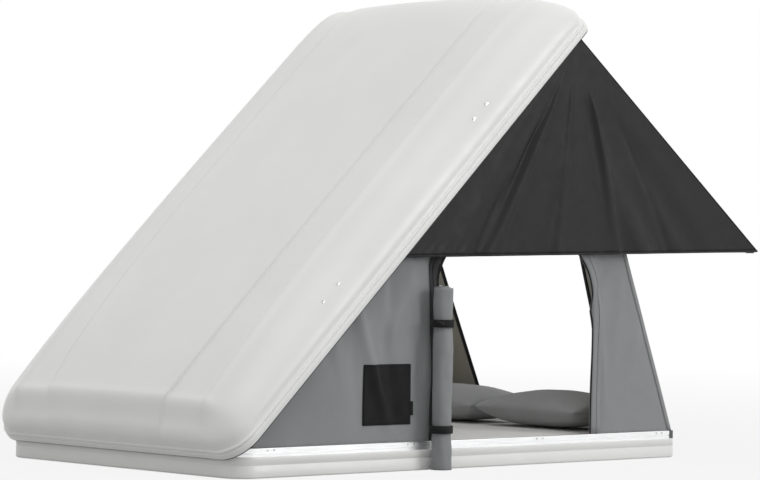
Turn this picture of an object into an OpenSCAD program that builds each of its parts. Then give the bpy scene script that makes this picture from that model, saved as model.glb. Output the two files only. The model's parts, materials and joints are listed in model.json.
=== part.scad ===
// Hard-shell roof top tent, shown open: the lid swings up about the front edge of the base.
// X runs from the front hinge to the rear door, Y to the right-hand side, Z up.
// The origin is at the centre of the base underside. Left is -Y.

/* [Base] */
// Length of the base tray
base_len = 2060; // [1900:1:2200]
// Width of the base tray
base_w = 1236; // [1100:1:1500]
// Height of the tray wall
tray_h = 68; // [60:1:90]
// Thickness of the foam-cored tray wall
tray_wall = 26; // [22:1:34]
// Thickness of the tray floor
tray_floor = 8; // [6:1:12]
// Plan radius of the front tray corners
base_front_r = 85; // [60:1:100]
// Plan radius of the rear tray corners
base_rear_r = 30; // [26:1:40]
// Thickness of the sandwich floor panel
panel_t = 28; // [24:1:34]

/* [Rail] */
// Height of the perimeter rail
rail_h = 28; // [22:1:34]
// Width of the perimeter rail
rail_w = 18; // [14:1:20]
// Set-back of the rail from the tray wall
rail_setback = 6; // [4:1:8]
// Length of the rear corner caps along the side
cap_len = 26; // [20:1:40]
// Head diameter of the rail screws
screw_head_d = 7; // [5:0.5:9]
// Shank diameter of the rail screws
screw_d = 4; // [3:0.5:5]
// Pairs of screws along each side rail
screw_pairs = 4; // [2:1:6]
// Distance between the two screws of a pair
screw_gap = 28; // [18:1:40]

/* [Lid] */
// Overhang of the lid past the front of the base
over_front = 42; // [36:1:60]
// Overhang of the lid past the rear of the base
over_rear = 48; // [40:1:60]
// Overhang of the lid past each side of the base
over_side = 32; // [30:1:40]
// Angle of the open lid
open_angle = 43; // [30:0.5:50]
// Height of the moulded rim
rim_h = 36; // [30:1:44]
// Thickness of the rim
rim_t = 13; // [10:1:13]
// Depth of the two rim grooves
rim_groove = 4; // [2:0.5:5]
// Thickness of the lid skin
skin_t = 6; // [4:0.5:9]
// How far the closed rim reaches below the rail top
rim_overlap = 24; // [10:1:25]
// Plan radius of the front lid corners
lid_front_r = 102; // [70:1:120]
// Plan radius of the rear lid corners
lid_rear_r = 50; // [46:1:72]
// Shoulder height of the lid at the front
shoulder_front = 139; // [120:1:150]
// Extra shoulder height reached at the rear
shoulder_gain = 71; // [50:1:80]
// Crown of the lid reached at the rear
crown_h = 18; // [10:1:50]
// Width over which the sides round over
side_round = 250; // [200:1:260]
// Length over which the front rounds over
front_round = 140; // [110:1:150]
// Length over which the rear rounds over
rear_round = 300; // [220:1:320]
// Squareness of the side rounding
side_power = 2.3; // [2:0.1:3]
// Squareness of the rear rounding
rear_power = 3; // [2:0.1:4]
// Half width of the raised middle panel at the front
panel_front = 290; // [220:1:330]
// Extra half width of the raised panel reached at the rear
panel_gain = 80; // [0:1:100]
// Height of the raised panel step
panel_step = 5; // [2:0.5:8]
// Width of the raised panel step
panel_edge = 10; // [6:1:20]
// Length over which the shoulder rises
shoulder_run = 380; // [250:1:500]
// Length over which the crown rises
crown_run = 500; // [300:1:700]
// Length over which the raised panel widens
panel_run = 350; // [200:1:500]
// Thickness of the rim seal
seal_t = 3; // [2:0.5:5]
// Width of the rim seal
seal_w = 4; // [3:0.5:5]

/* [Hinges] */
// Distance of the hinge axis in front of the base
hinge_out = 10; // [8:1:14]
// Height of the hinge axis above the rail top
hinge_up = 8; // [8:1:14]
// Distance of each hinge from the tray side
hinge_in = 218; // [150:1:300]
// Length of one hinge
hinge_len = 90; // [60:1:140]
// Radius of the hinge knuckles
knuckle_r = 7; // [6:0.5:7.5]
// Radius of the hinge pins
pin_r = 3; // [2.5:0.5:4]
// Thickness of the hinge leaves
leaf_t = 4; // [3:0.5:5]

/* [Gas struts] */
// Distance of the lower pivots behind the hinge axis
strut_base_run = 240; // [200:1:300]
// Height of the lower pivots below the rail top
strut_base_drop = 21; // [14:1:24]
// Distance of the lid studs from the hinge axis, lid closed
strut_lid_run = 590; // [540:1:640]
// Height of the lid studs above the rim, lid closed
strut_lid_up = 80; // [70:1:84]
// Distance of the struts from the tray side
strut_in = 43; // [40:1:60]
// Outside radius of the strut barrels
barrel_r = 11; // [9:0.5:12]
// Radius of the strut rods
rod_r = 5; // [4:0.5:6]
// Length of the strut barrels
barrel_len = 262; // [240:1:280]
// Thickness of the strut eyes
eye_t = 12; // [8:1:16]
// Radius of the strut pivot pins
strut_pin_r = 4; // [3:0.5:5]

/* [Awning] */
// Distance of the bow pivots behind the hinge axis, lid closed
bow_run = 2030; // [1980:1:2032]
// Height of the bow pivots above the rim
bow_up = 37; // [35:0.5:38]
// Length of the bow arms
bow_len = 1236; // [900:1:1240]
// Radius of the bow tube
bow_r = 6.5; // [5:0.25:7]
// Angle between the lid and the spread bow
bow_angle = 80.3; // [60:0.1:100]
// Length of the side panels along the lid
canopy_run = 1120; // [700:1:1400]
// Depth of the main canopy folds
canopy_fold = 14; // [4:1:24]
// Number of main folds in each side panel
canopy_folds = 3; // [2:1:5]
// Thickness of the canopy solid
canopy_t = 4; // [3:0.5:5]
// Rise of the side hem in its middle
hem_rise = 0; // [0:1:40]

/* [Fabric] */
// Thickness of the tent fabric solids
cloth_t = 2.5; // [1.5:0.5:4]
// Distance of the walls outside the rail middle
wall_out = 3; // [0:0.5:4]
// Depth of the soft folds in the side walls
wall_fold = 5; // [1:0.5:9]
// Front edge of the side door from the middle of the base
door_front = -143; // [-300:1:0]
// Rear edge of the side door from the middle of the base
door_rear = 587; // [400:1:650]
// Height of the side door above the rail
door_h = 690; // [500:1:760]
// Radius of the front top corner of the side door
door_front_r = 150; // [40:1:180]
// Radius of the rear top corner of the side door
door_rear_r = 230; // [100:1:300]
// Width of the rear wall left beside the door sill
rear_margin = 266; // [200:1:320]
// Extra half width of the rear door at its widest
rear_door_gain = 60; // [0:1:90]
// Height of the rear door along the sloping wall
rear_door_h = 1150; // [800:1:1250]
// Radius of the top corners of the rear door
rear_door_r = 200; // [100:1:250]
// Radius of the rolled side doors
roll_r = 39; // [26:1:42]
// Top of the rolled side doors
roll_top = 606; // [450:1:650]
// Bottom of the rolled side doors
roll_bottom = 3; // [2:1:40]
// Radius of the rolled rear door
rear_roll_r = 38; // [28:1:46]
// Heights of the two straps on each roll
strap_heights = [137, 489]; // [60:1:560]
// Width of the roll straps
strap_w = 26; // [18:1:34]
// Thickness of the roll straps
strap_t = 2; // [1:0.5:3]
// Width of the bare patch on the left wall
patch_w = 213; // [100:1:260]
// Height of the bare patch on the left wall
patch_h = 200; // [100:1:240]
// Distance of the bare patch from the side door
patch_gap = 131; // [60:1:200]
// Thickness of the bare patch
patch_t = 1.5; // [1:0.5:3]

/* [Bedding] */
// Thickness of the mattress
mattress_t = 60; // [45:1:61]
// Gap between the mattress and the tray wall
mattress_gap = 36; // [30:1:60]
// Distance of the pillows from the mattress side
pillow_in = 39; // [20:1:80]
// Width of a pillow along the tent
pillow_w = 370; // [280:1:380]
// Height of a pillow
pillow_h = 138; // [100:1:140]
// Distance of the pillows from the rear tray wall
pillow_back = 34; // [30:1:80]
// Gap between the two pillows
pillow_gap = 14; // [6:1:40]

/* [Latches and mounts] */
// Distance of each latch from the tray side
latch_in = 218; // [150:1:300]
// Swing of the latch hooks
latch_swing = 100; // [95:1:105]
// Distance of each mounting channel from the tray side
channel_in = 218; // [120:1:300]
// Length of the mounting channels
channel_len = 1400; // [900:1:1600]
// Width of the mounting channels
channel_w = 40; // [34:1:48]
// Depth of the mounting channels
channel_h = 22; // [18:1:26]
// Wall of the mounting channels
channel_wall = 3; // [2.5:0.5:4]
// Slot width of the mounting channels
channel_slot = 13; // [9:1:16]

/* [Hidden] */
$fn = 48;
seat = 0.3;
run_fit = 0.05;
cut = 1;
rail_top = tray_h + rail_h;
base_x = base_len / 2;
base_y = base_w / 2;
hinge_y = base_y - hinge_in;
strut_y = base_y - strut_in;
latch_y = base_y - latch_in;
channel_y = base_y - channel_in;
rail_x = base_x - rail_setback;
rail_y = base_y - rail_setback;
bed_z = tray_floor + panel_t;
lid_len = base_len + over_front + over_rear;
lid_w = base_w + 2 * over_side;
lid_x0 = -base_x - over_front;
lid_mid = lid_x0 + lid_len / 2;
rim_z = rail_top - rim_overlap;
hinge_x = -base_x - hinge_out;
hinge_z = rail_top + hinge_up;
stud_x = hinge_x + strut_lid_run;
stud_z = rim_z + strut_lid_up;
strut_x = hinge_x + strut_base_run;
strut_z = rail_top - strut_base_drop;
bow_x = hinge_x + bow_run;
bow_z = rim_z + bow_up;
bow_y = (base_y + lid_w / 2 - rim_t) / 2;
track_z = rim_z + rim_h + 18;
track_t = 3;
track_in = rail_y - rail_w;
wall_y = rail_y - rail_w / 2 + wall_out;
bolt_runs = [575, 660, 1477, 1555];
bolt_up = 123;
bolt_r = 8;
crossbar_runs = [(bolt_runs[0] + bolt_runs[1]) / 2, (bolt_runs[2] + bolt_runs[3]) / 2];

// A closed-lid point after the lid has swung up
function opened(p) = let (x = p[0] - hinge_x, z = p[2] - hinge_z)
    [hinge_x + x * cos(open_angle) - z * sin(open_angle), p[1],
     hinge_z + x * sin(open_angle) + z * cos(open_angle)];
// A point at run r along the open lid, u above the rim plane
function on_lid_line(r, y, u) = opened([hinge_x + r, y, rim_z + u]);
function mix(a, b, t) = a + (b - a) * t;
function rise(e, l) = 1 - exp(-e / l);
function quarter(t, p = 2) = pow(1 - pow(1 - min(max(t, 0), 1), p), 1 / p);
function each_row(g) = [for (r = g) each r];

stud_open = opened([stud_x, strut_y, stud_z]);
strut_reach = norm([stud_open[0] - strut_x, stud_open[2] - strut_z]);
strut_closed = norm([stud_x - strut_x, stud_z - strut_z]);
strut_tilt = atan2(stud_open[2] - strut_z, stud_open[0] - strut_x);
strut_stroke = strut_reach - strut_closed;

module on_lid() {
    translate([hinge_x, 0, hinge_z]) rotate([0, -open_angle, 0]) translate([-hinge_x, 0, -hinge_z]) children();
}

module on_side(s) {
    if (s < 0) mirror([0, 1, 0]) children();
    else children();
}

module rod_y(r, y0, y1) {
    translate([0, y0, 0]) rotate([-90, 0, 0]) cylinder(r = r, h = y1 - y0);
}

module round_plate(x0, x1, half, rf, rr) {
    union() {
        translate([x0 + rf, -half]) square([x1 - x0 - rf - rr, 2 * half]);
        translate([x0, -half + rf]) square([rf + cut, 2 * (half - rf)]);
        translate([x1 - rr - cut, -half + rr]) square([rr + cut, 2 * (half - rr)]);
        for (s = [-1, 1]) {
            translate([x0 + rf, s * (half - rf)]) circle(r = rf, $fn = 64);
            translate([x1 - rr, s * (half - rr)]) circle(r = rr, $fn = 48);
        }
    }
}

// A closed solid between two point grids of the same shape
module slab(a, b) {
    n = len(a);
    m = len(a[0]);
    k = n * m;
    quads = [for (i = [0:n - 2], j = [0:m - 2]) [i * m + j, i * m + j + 1, (i + 1) * m + j + 1, (i + 1) * m + j]];
    edge = concat([for (j = [0:m - 2]) j], [for (i = [0:n - 2]) i * m + m - 1],
                  [for (j = [m - 1:-1:1]) (n - 1) * m + j], [for (i = [n - 1:-1:1]) i * m]);
    e = len(edge);
    faces = concat(
        [for (q = quads) each [[q[0], q[1], q[2]], [q[0], q[2], q[3]]]],
        [for (q = quads) each [[q[2] + k, q[1] + k, q[0] + k], [q[3] + k, q[2] + k, q[0] + k]]],
        [for (i = [0:e - 1]) let (p = edge[i], q = edge[(i + 1) % e]) each [[q, p, p + k], [q, p + k, q + k]]]);
    polyhedron(points = concat(each_row(a), each_row(b)), faces = faces, convexity = 8);
}

// Base tray, floor and mounting channels
module channel_place(s) {
    translate([-channel_len / 2, s * channel_y, 0]) rotate([90, 0, 90]) children();
}

module base_shell() color("whitesmoke") difference() {
    linear_extrude(tray_h) round_plate(-base_x, base_x, base_y, base_front_r, base_rear_r);
    translate([0, 0, tray_floor]) linear_extrude(tray_h)
        round_plate(-base_x + tray_wall, base_x - tray_wall, base_y - tray_wall,
                    base_front_r - tray_wall, max(base_rear_r - tray_wall, 4));
    for (s = [-1, 1]) channel_place(s)
        translate([-channel_w / 2, -cut, 0]) cube([channel_w, tray_floor + 2 * cut, channel_len]);
}

module floor_panel() color("burlywood") difference() {
    translate([0, 0, tray_floor]) linear_extrude(panel_t)
        round_plate(-base_x + tray_wall + cut, base_x - tray_wall - cut, base_y - tray_wall - cut,
                    base_front_r - tray_wall, max(base_rear_r - tray_wall, 4));
    for (s = [-1, 1]) channel_place(s)
        translate([-channel_w / 2, 0, 0]) cube([channel_w, channel_h, channel_len]);
}

module mounting_channel(s) color("silver") channel_place(s) linear_extrude(channel_len) difference() {
    translate([-channel_w / 2, 0]) square([channel_w, channel_h]);
    translate([-channel_w / 2 + channel_wall, channel_wall])
        square([channel_w - 2 * channel_wall, channel_h - 2 * channel_wall]);
    translate([-channel_slot / 2, -cut]) square([channel_slot, channel_wall + 2 * cut]);
}

module mounting_channel_left() mounting_channel(-1);
module mounting_channel_right() mounting_channel(1);

// Perimeter rail: u runs inwards from the outer face, v up from the tray top
rail_line = 1.5;
rail_bend = base_front_r - rail_setback;
rail_profile = [
    [0, 0], [0, rail_h * 0.30], [rail_line, rail_h * 0.34], [rail_line, rail_h * 0.42], [0, rail_h * 0.46],
    [0, rail_h - 3], [1, rail_h - 1], [3, rail_h], [rail_w - 2, rail_h], [rail_w, rail_h - 2],
    [rail_w, rail_h * 0.55], [rail_w - 5, rail_h * 0.55], [rail_w - 5, rail_h * 0.30], [rail_w, rail_h * 0.30],
    [rail_w, 0]];

module rail_bar(len) {
    rotate([90, 0, 90]) linear_extrude(len) mirror([1, 0]) polygon(rail_profile);
}

function screw_x(i, k) = mix(-base_x + base_front_r + 60, base_x - cap_len - 60, i / (screw_pairs - 1))
    + (k - 0.5) * screw_gap;

module rail_side(s) color("gainsboro") on_side(s) difference() {
    translate([-base_x + base_front_r, rail_y, tray_h]) rail_bar(2 * base_x - base_front_r - rail_setback - cap_len);
    for (i = [0:screw_pairs - 1], k = [0, 1])
        translate([screw_x(i, k), 0, tray_h + rail_h * 0.72])
            rod_y(screw_d / 2 + run_fit, rail_y - rail_w - cut, rail_y + cut);
}

module rail_left() rail_side(-1);
module rail_right() rail_side(1);

module rail_front() color("gainsboro") {
    translate([-rail_x, rail_y - rail_bend, tray_h]) rotate([0, 0, -90]) mirror([0, 1, 0]) translate([0, 0, 0])
        rail_bar(2 * (rail_y - rail_bend));
    for (s = [-1, 1]) on_side(s) translate([-rail_x + rail_bend, rail_y - rail_bend, tray_h])
        rotate([0, 0, 90]) rotate_extrude(angle = 90, $fn = 96)
            translate([rail_bend, 0]) mirror([1, 0]) polygon(rail_profile);
}

module rail_rear() color("gainsboro")
    translate([rail_x, rail_y - cap_len, tray_h]) rotate([0, 0, -90]) rail_bar(2 * (rail_y - cap_len));

module rail_end_caps() color("dimgray")
    for (s = [-1, 1]) on_side(s) translate([rail_x - cap_len, rail_y - cap_len, tray_h]) difference() {
        linear_extrude(rail_h) union() {
            square([cap_len - base_rear_r / 3, cap_len]);
            square([cap_len, cap_len - base_rear_r / 3]);
            translate([cap_len - base_rear_r / 3, cap_len - base_rear_r / 3]) circle(r = base_rear_r / 3);
        }
        translate([-cut, -cut, -cut]) cube([cap_len - rail_w + cut, cap_len - rail_w + cut, rail_h + 2 * cut]);
    }

module rail_screws() color("lightgray")
    for (s = [-1, 1], i = [0:screw_pairs - 1], k = [0, 1]) on_side(s)
        translate([screw_x(i, k), rail_y, tray_h + rail_h * 0.72]) {
            rod_y(screw_d / 2, -rail_w * 0.6, 0);
            rod_y(screw_head_d / 2, 0, 1.6);
        }

// Hinges at the front edge
module hinge_place(s) {
    translate([hinge_x, s * hinge_y, hinge_z]) children();
}

knuckle_len = hinge_len / 3;
knuckle_play = 0.4;

module hinge_base_leaf(s) color("silver") hinge_place(s) difference() {
    union() {
        for (k = [-1, 1]) {
            a = k < 0 ? -hinge_len / 2 : knuckle_len / 2 + knuckle_play;
            rod_y(knuckle_r, a, a + knuckle_len - knuckle_play);
            translate([0, a, -knuckle_r]) cube([-rail_x - hinge_x, knuckle_len - knuckle_play, knuckle_r]);
        }
        translate([-rail_x - hinge_x - leaf_t, -hinge_len / 2, tray_h + 3 - hinge_z])
            cube([leaf_t, hinge_len, hinge_z - tray_h - 3]);
    }
    rod_y(pin_r + run_fit, -hinge_len, hinge_len);
    rod_y(knuckle_r + 1, -knuckle_len / 2 - knuckle_play / 2, knuckle_len / 2 + knuckle_play / 2);
}

module hinge_base_leaf_left() hinge_base_leaf(-1);
module hinge_base_leaf_right() hinge_base_leaf(1);

module hinge_pins() color("gray") for (s = [-1, 1]) hinge_place(s) {
    rod_y(pin_r, -hinge_len / 2 - 2, hinge_len / 2);
    rod_y(pin_r + 2, -hinge_len / 2 - 4, -hinge_len / 2 - run_fit);
}

module hinge_lid_leaf(s) color("silver") on_lid() hinge_place(s) difference() {
    reach = hinge_x - lid_x0 - rim_t - 0.2;
    union() {
        rod_y(knuckle_r, -knuckle_len / 2 + knuckle_play, knuckle_len / 2 - knuckle_play);
        translate([-reach + 1.5, -knuckle_len / 2 + knuckle_play, -leaf_t / 2])
            cube([reach - 1.5, knuckle_len - 2 * knuckle_play, leaf_t]);
        translate([-reach + 1.5, -knuckle_len / 2 + knuckle_play, rim_z + rim_h - 11 - hinge_z])
            cube([leaf_t, knuckle_len - 2 * knuckle_play, hinge_z - rim_z - rim_h + 11]);
        translate([-reach, -hinge_len / 2, rim_z + 3 - hinge_z]) cube([leaf_t - 1, hinge_len, rim_h - 12]);
    }
    rod_y(pin_r + run_fit, -hinge_len, hinge_len);
}

module hinge_lid_leaf_left() hinge_lid_leaf(-1);
module hinge_lid_leaf_right() hinge_lid_leaf(1);

// Lid shell: height above the rim at distance e from the front and y from the middle
function corner_in(d, r) = d >= r ? 0 : r - sqrt(r * r - (r - d) * (r - d));
function lid_half(e) = lid_w / 2 - max(corner_in(e, lid_front_r), corner_in(lid_len - e, lid_rear_r));
function panel_half(e) = panel_front + panel_gain * rise(e, panel_run);
function lid_up(e, y) = let (
        w = lid_half(e),
        side = lid_w / 2 - abs(y),
        shoulder = shoulder_front + shoulder_gain * rise(e, shoulder_run),
        crown = crown_h * rise(e, crown_run) * (1 - pow(min(abs(y) / (lid_w / 2 - side_round), 1), 2)),
        step = panel_step * min(max((panel_half(e) + panel_edge - abs(y)) / panel_edge, 0), 1),
        over = quarter((w - abs(y)) / side_round, side_power)
            * quarter((e - corner_in(side, lid_front_r)) / front_round)
            * quarter((lid_len - e - corner_in(side, lid_rear_r)) / rear_round, rear_power))
    rim_h + (shoulder + crown + step - rim_h) * over;

lid_turns = [0, 15, 30, 45, 60, 75, 90];
lid_spans = 10;
rear_steps = [1, 0.62, 0.38, 0.24];
lid_stations = concat(
    [for (a = lid_turns) lid_front_r * (1 - cos(a))],
    [for (i = [1:lid_spans - 1]) mix(lid_front_r, lid_len - rear_round, i / lid_spans)],
    [for (k = rear_steps) lid_len - k * rear_round],
    [for (i = [len(lid_turns) - 1:-1:0]) lid_len - lid_rear_r * (1 - cos(lid_turns[i]))]);
side_steps = [0, 0.006, 0.024, 0.07, 0.16, 0.32, 0.56, 0.88];
function lid_columns(e) = let (
        w = lid_half(e),
        g = panel_half(e),
        half = concat([for (k = side_steps) w - k * side_round], [g + panel_edge, g, g / 2]))
    concat([for (i = [0:len(half) - 1]) -half[i]], [0], [for (i = [len(half) - 1:-1:0]) half[i]]);
function shrink(p, d, z) = [lid_mid + (p[0] - lid_mid) * (1 - 2 * d / lid_len), p[1] * (1 - 2 * d / lid_w), z];

module lid_shell() color("white") on_lid() {
    outer = [for (e = lid_stations) [for (y = lid_columns(e)) [lid_x0 + e, y, rim_z + lid_up(e, y)]]];
    inner = [for (r = outer) [for (p = r) shrink(p, rim_t, p[2] - skin_t)]];
    n = len(outer);
    m = len(outer[0]);
    k = n * m;
    edge = concat([for (j = [0:m - 2]) j], [for (i = [0:n - 2]) i * m + m - 1],
                  [for (j = [m - 1:-1:1]) (n - 1) * m + j], [for (i = [n - 1:-1:1]) i * m]);
    c = len(edge);
    top = each_row(outer);
    rings = [[rim_groove, 0.86], [0, 0.72], [0, 0.46], [rim_groove, 0.34], [0, 0.22], [0, 0], [rim_t, 0]];
    bands = [for (r = rings) each [for (i = edge) shrink(top[i], r[0], rim_z + r[1] * rim_h)]];
    loops = concat([edge], [for (r = [0:len(rings) - 1]) [for (i = [0:c - 1]) 2 * k + r * c + i]],
                   [[for (i = edge) i + k]]);
    quads = [for (i = [0:n - 2], j = [0:m - 2]) [i * m + j, i * m + j + 1, (i + 1) * m + j + 1, (i + 1) * m + j]];
    faces = concat(
        [for (q = quads) each [[q[0], q[1], q[2]], [q[0], q[2], q[3]]]],
        [for (q = quads) each [[q[2] + k, q[1] + k, q[0] + k], [q[3] + k, q[2] + k, q[0] + k]]],
        [for (l = [0:len(loops) - 2], i = [0:c - 1])
            let (a = loops[l][i], b = loops[l][(i + 1) % c], d = loops[l + 1][i], f = loops[l + 1][(i + 1) % c])
            each [[b, a, d], [b, d, f]]]);
    polyhedron(points = concat(top, each_row(inner), bands), faces = faces, convexity = 10);
}

module lid_seal() color("black") on_lid() translate([0, 0, rim_z - seal_t]) linear_extrude(seal_t) difference() {
    round_plate(lid_x0 + 3, lid_x0 + lid_len - 3, lid_w / 2 - 3, lid_front_r - 3, lid_rear_r - 3);
    round_plate(lid_x0 + 3 + seal_w, lid_x0 + lid_len - 3 - seal_w, lid_w / 2 - 3 - seal_w,
                lid_front_r - 3 - seal_w, lid_rear_r - 3 - seal_w);
}

// Fabric tracks inside the lid
track_leg = 10;
track_lip = 6.9;
rear_lip = 1.5;
track_y = lid_w / 2 - rim_t - track_lip;
track_x0 = lid_x0 + lid_front_r + 40;
track_x1 = lid_x0 + lid_len - lid_rear_r - 40;

module lid_track(s) color("silver") on_lid() on_side(s) {
    translate([track_x0, track_in, track_z]) cube([track_x1 - track_x0, track_y - track_in, track_t]);
    translate([track_x0, track_y - track_t, track_z + track_t - track_leg])
        cube([track_x1 - track_x0, track_t, track_leg]);
}

module lid_track_left() lid_track(-1);
module lid_track_right() lid_track(1);

rear_track_x = lid_x0 + lid_len - rim_t - rear_lip;
rear_track_w = 34;
rear_track_half = lid_w / 2 - lid_rear_r - 60;

module lid_track_rear() color("silver") on_lid() {
    translate([rear_track_x - rear_track_w, -rear_track_half, track_z]) cube([rear_track_w, 2 * rear_track_half, track_t]);
    translate([rear_track_x - track_t, -rear_track_half, track_z + track_t - track_leg])
        cube([track_t, 2 * rear_track_half, track_leg]);
}

// Cross members and lining inside the lid
crossbar_h = 20;
crossbar_w = 40;
crossbar_drop = 16;
crossbar_half = strut_y - eye_t / 2 - 11;
plate_t = 4;
plate_len = bolt_runs[1] - bolt_runs[0] + 50;
plate_h = 44;
bar_up = bolt_up - crossbar_drop;

module crossbar(i) color("silver") on_lid() translate([hinge_x + crossbar_runs[i], 0, rim_z]) {
    translate([-crossbar_w / 2, -crossbar_half, bar_up - crossbar_h]) cube([crossbar_w, 2 * crossbar_half, crossbar_h]);
    for (s = [-1, 1]) on_side(s) translate([-plate_len / 2, crossbar_half - plate_t, bar_up - crossbar_h])
        cube([plate_len, plate_t, plate_h]);
}

module lid_crossbar_front() crossbar(0);
module lid_crossbar_rear() crossbar(1);

// Distance from the middle at which the lid skin passes the bolts of run r
function bolt_side(r) = let (
        shoulder = shoulder_front + shoulder_gain * rise(r + hinge_x - lid_x0, shoulder_run),
        g = (bolt_up - rim_h) / (shoulder - rim_h))
    lid_w / 2 - side_round * (1 - pow(1 - pow(g, side_power), 1 / side_power));

module lid_bolts() color("lightgray") on_lid()
    for (s = [-1, 1], r = bolt_runs) on_side(s) translate([hinge_x + r, 0, rim_z + bolt_up - 6]) {
        rod_y(bolt_r / 2, crossbar_half - plate_t - 6, bolt_side(r));
        rod_y(bolt_r, bolt_side(r) - 3, bolt_side(r) + 4);
        rod_y(bolt_r, crossbar_half - plate_t - 8, crossbar_half - plate_t);
    }

liner_t = 6;
liner_half = crossbar_half - 158;

module lid_liner() color("lightgray") on_lid()
    translate([hinge_x + crossbar_runs[0] - plate_len, -liner_half, rim_z + bar_up])
        cube([crossbar_runs[1] - crossbar_runs[0] + 2 * plate_len, 2 * liner_half, liner_t]);

// Gas struts
plate_gap = 1;
strut_out = strut_y + eye_t / 2;

module strut_base_bracket(s) color("dimgray") on_side(s) translate([strut_x, 0, strut_z]) {
    inner_wall = base_y - tray_wall;
    translate([-30, inner_wall - 4, bed_z + 2 - strut_z]) cube([60, 4, strut_z - bed_z + 8]);
    rod_y(strut_pin_r, strut_y - eye_t / 2 - 3, inner_wall - 2);
    rod_y(strut_pin_r + 3, strut_y - eye_t / 2 - 5, strut_y - eye_t / 2 - plate_gap);
}

module strut_base_bracket_left() strut_base_bracket(-1);
module strut_base_bracket_right() strut_base_bracket(1);

module on_strut(s) {
    on_side(s) translate([strut_x, strut_y, strut_z]) rotate([0, 90 - strut_tilt, 0]) children();
}

bore_r = barrel_r - 2;
barrel_foot = 22;

module strut_barrel(s) color("black") on_strut(s) difference() {
    union() {
        rod_y(barrel_r, -eye_t / 2, eye_t / 2);
        cylinder(r = rod_r, h = barrel_foot);
        translate([0, 0, barrel_foot - 4]) cylinder(r = barrel_r, h = barrel_len - barrel_foot + 4);
    }
    rod_y(strut_pin_r + run_fit, -eye_t, eye_t);
    translate([0, 0, barrel_foot]) cylinder(r = bore_r, h = barrel_len - barrel_foot - 8);
    translate([0, 0, barrel_len - 20]) cylinder(r = rod_r + run_fit, h = 40);
}

module strut_barrel_left() strut_barrel(-1);
module strut_barrel_right() strut_barrel(1);

piston_t = 12;
piston_at = barrel_foot + strut_stroke + 3;

module strut_rod(s) color("silver") on_strut(s) {
    translate([0, 0, piston_at]) cylinder(r = bore_r - run_fit, h = piston_t);
    translate([0, 0, piston_at]) cylinder(r = rod_r, h = strut_reach - piston_at - barrel_r + 2);
    translate([0, 0, strut_reach]) rod_y(barrel_r, -eye_t / 2, eye_t / 2);
}

module strut_rod_left() strut_rod(-1);
module strut_rod_right() strut_rod(1);

module strut_lid_bracket(s) color("dimgray") on_lid() on_side(s) {
    translate([stud_x, 0, stud_z]) rod_y(strut_pin_r + 4, strut_out + seat, track_y - 14);
    translate([stud_x - 25, track_y - 18, track_z + track_t]) cube([50, 4, stud_z - track_z + 10]);
    translate([stud_x - 25, track_y - 18, track_z + track_t]) cube([50, 18 - track_lip, 4]);
}

module strut_lid_bracket_left() strut_lid_bracket(-1);
module strut_lid_bracket_right() strut_lid_bracket(1);

// Awning bow and its brackets
hub_r = 9;
bow_plate_t = 2;
rim_in = lid_w / 2 - rim_t;

module bow_bracket(s) color("dimgray") on_lid() on_side(s) translate([bow_x, 0, bow_z]) {
    translate([-52, rim_in - bow_plate_t - 0.7, -22]) cube([60, bow_plate_t, 20.5]);
    rod_y(strut_pin_r, bow_y - bow_r - 1, rim_in - 2.1);
}

module bow_bracket_left() bow_bracket(-1);
module bow_bracket_right() bow_bracket(1);

module on_bow() {
    on_lid() translate([bow_x, 0, bow_z]) rotate([0, 90 + bow_angle, 0]) children();
}

corner_r = bow_r + 2;
arm_end = bow_len - 30;

module bow_arm(s) color("silver") on_bow() on_side(s) difference() {
    union() {
        translate([0, bow_y, 0]) rod_y(hub_r, -bow_r + 0.8, bow_r - 0.8);
        translate([0, bow_y, 0]) cylinder(r = bow_r, h = arm_end);
    }
    rod_y(strut_pin_r + run_fit, 0, lid_w);
}

module bow_arm_left() bow_arm(-1);
module bow_arm_right() bow_arm(1);

module bow_corners() color("dimgray") on_bow() for (s = [-1, 1]) on_side(s) {
    translate([0, bow_y, arm_end]) cylinder(r = bow_r, h = bow_len - arm_end);
    translate([0, bow_y, bow_len]) sphere(r = bow_r);
    translate([0, 0, bow_len]) rod_y(bow_r, bow_y - 30, bow_y);
}

module bow_crossbar() color("silver") on_bow() translate([0, 0, bow_len]) rod_y(bow_r, -bow_y + 30, bow_y - 30);

// Canopy over the bow: columns run round the hem, rows run from the lid to the hem
bow_tip = opened([bow_x + bow_len * cos(bow_angle), 0, bow_z - bow_len * sin(bow_angle)]);
bow_dir = open_angle - bow_angle;
skin_gap = bow_r + 3;
tip_x = bow_tip[0] + skin_gap * (cos(bow_dir) + sin(-bow_dir));
tip_z = bow_tip[2] + skin_gap * (cos(bow_dir) - sin(-bow_dir));
canopy_y = bow_y + bow_r + 2;
canopy_top_y = lid_w / 2 - 3 - seal_w - seat - canopy_t;
canopy_drop = -seat - canopy_t / 3;
canopy_rear_run = lid_x0 + lid_len - 3 - seal_w - seat - 2 * canopy_t - hinge_x;
canopy_corner_run = bow_run + 15;
fan_spread = 60;
side_columns = 14;
roof_columns = 8;
canopy_rows = 9;
function side_top(a) = on_lid_line(canopy_corner_run - fan_spread * (1 - a), canopy_top_y, canopy_drop);
function side_hem(a) = let (h = on_lid_line(canopy_corner_run - canopy_run, canopy_top_y, canopy_drop))
    [mix(h[0], tip_x, a), mix(canopy_top_y, canopy_y, a), mix(h[2], tip_z, a) + hem_rise * sin(180 * a)];
function side_point(a, v, t) = let (
        p = mix(side_top(a), side_hem(a), v),
        f = canopy_fold * v * sin(180 * a) * (0.5 - 0.5 * cos(360 * canopy_folds * a)))
    [p[0], p[1] + f + t, p[2]];
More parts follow.
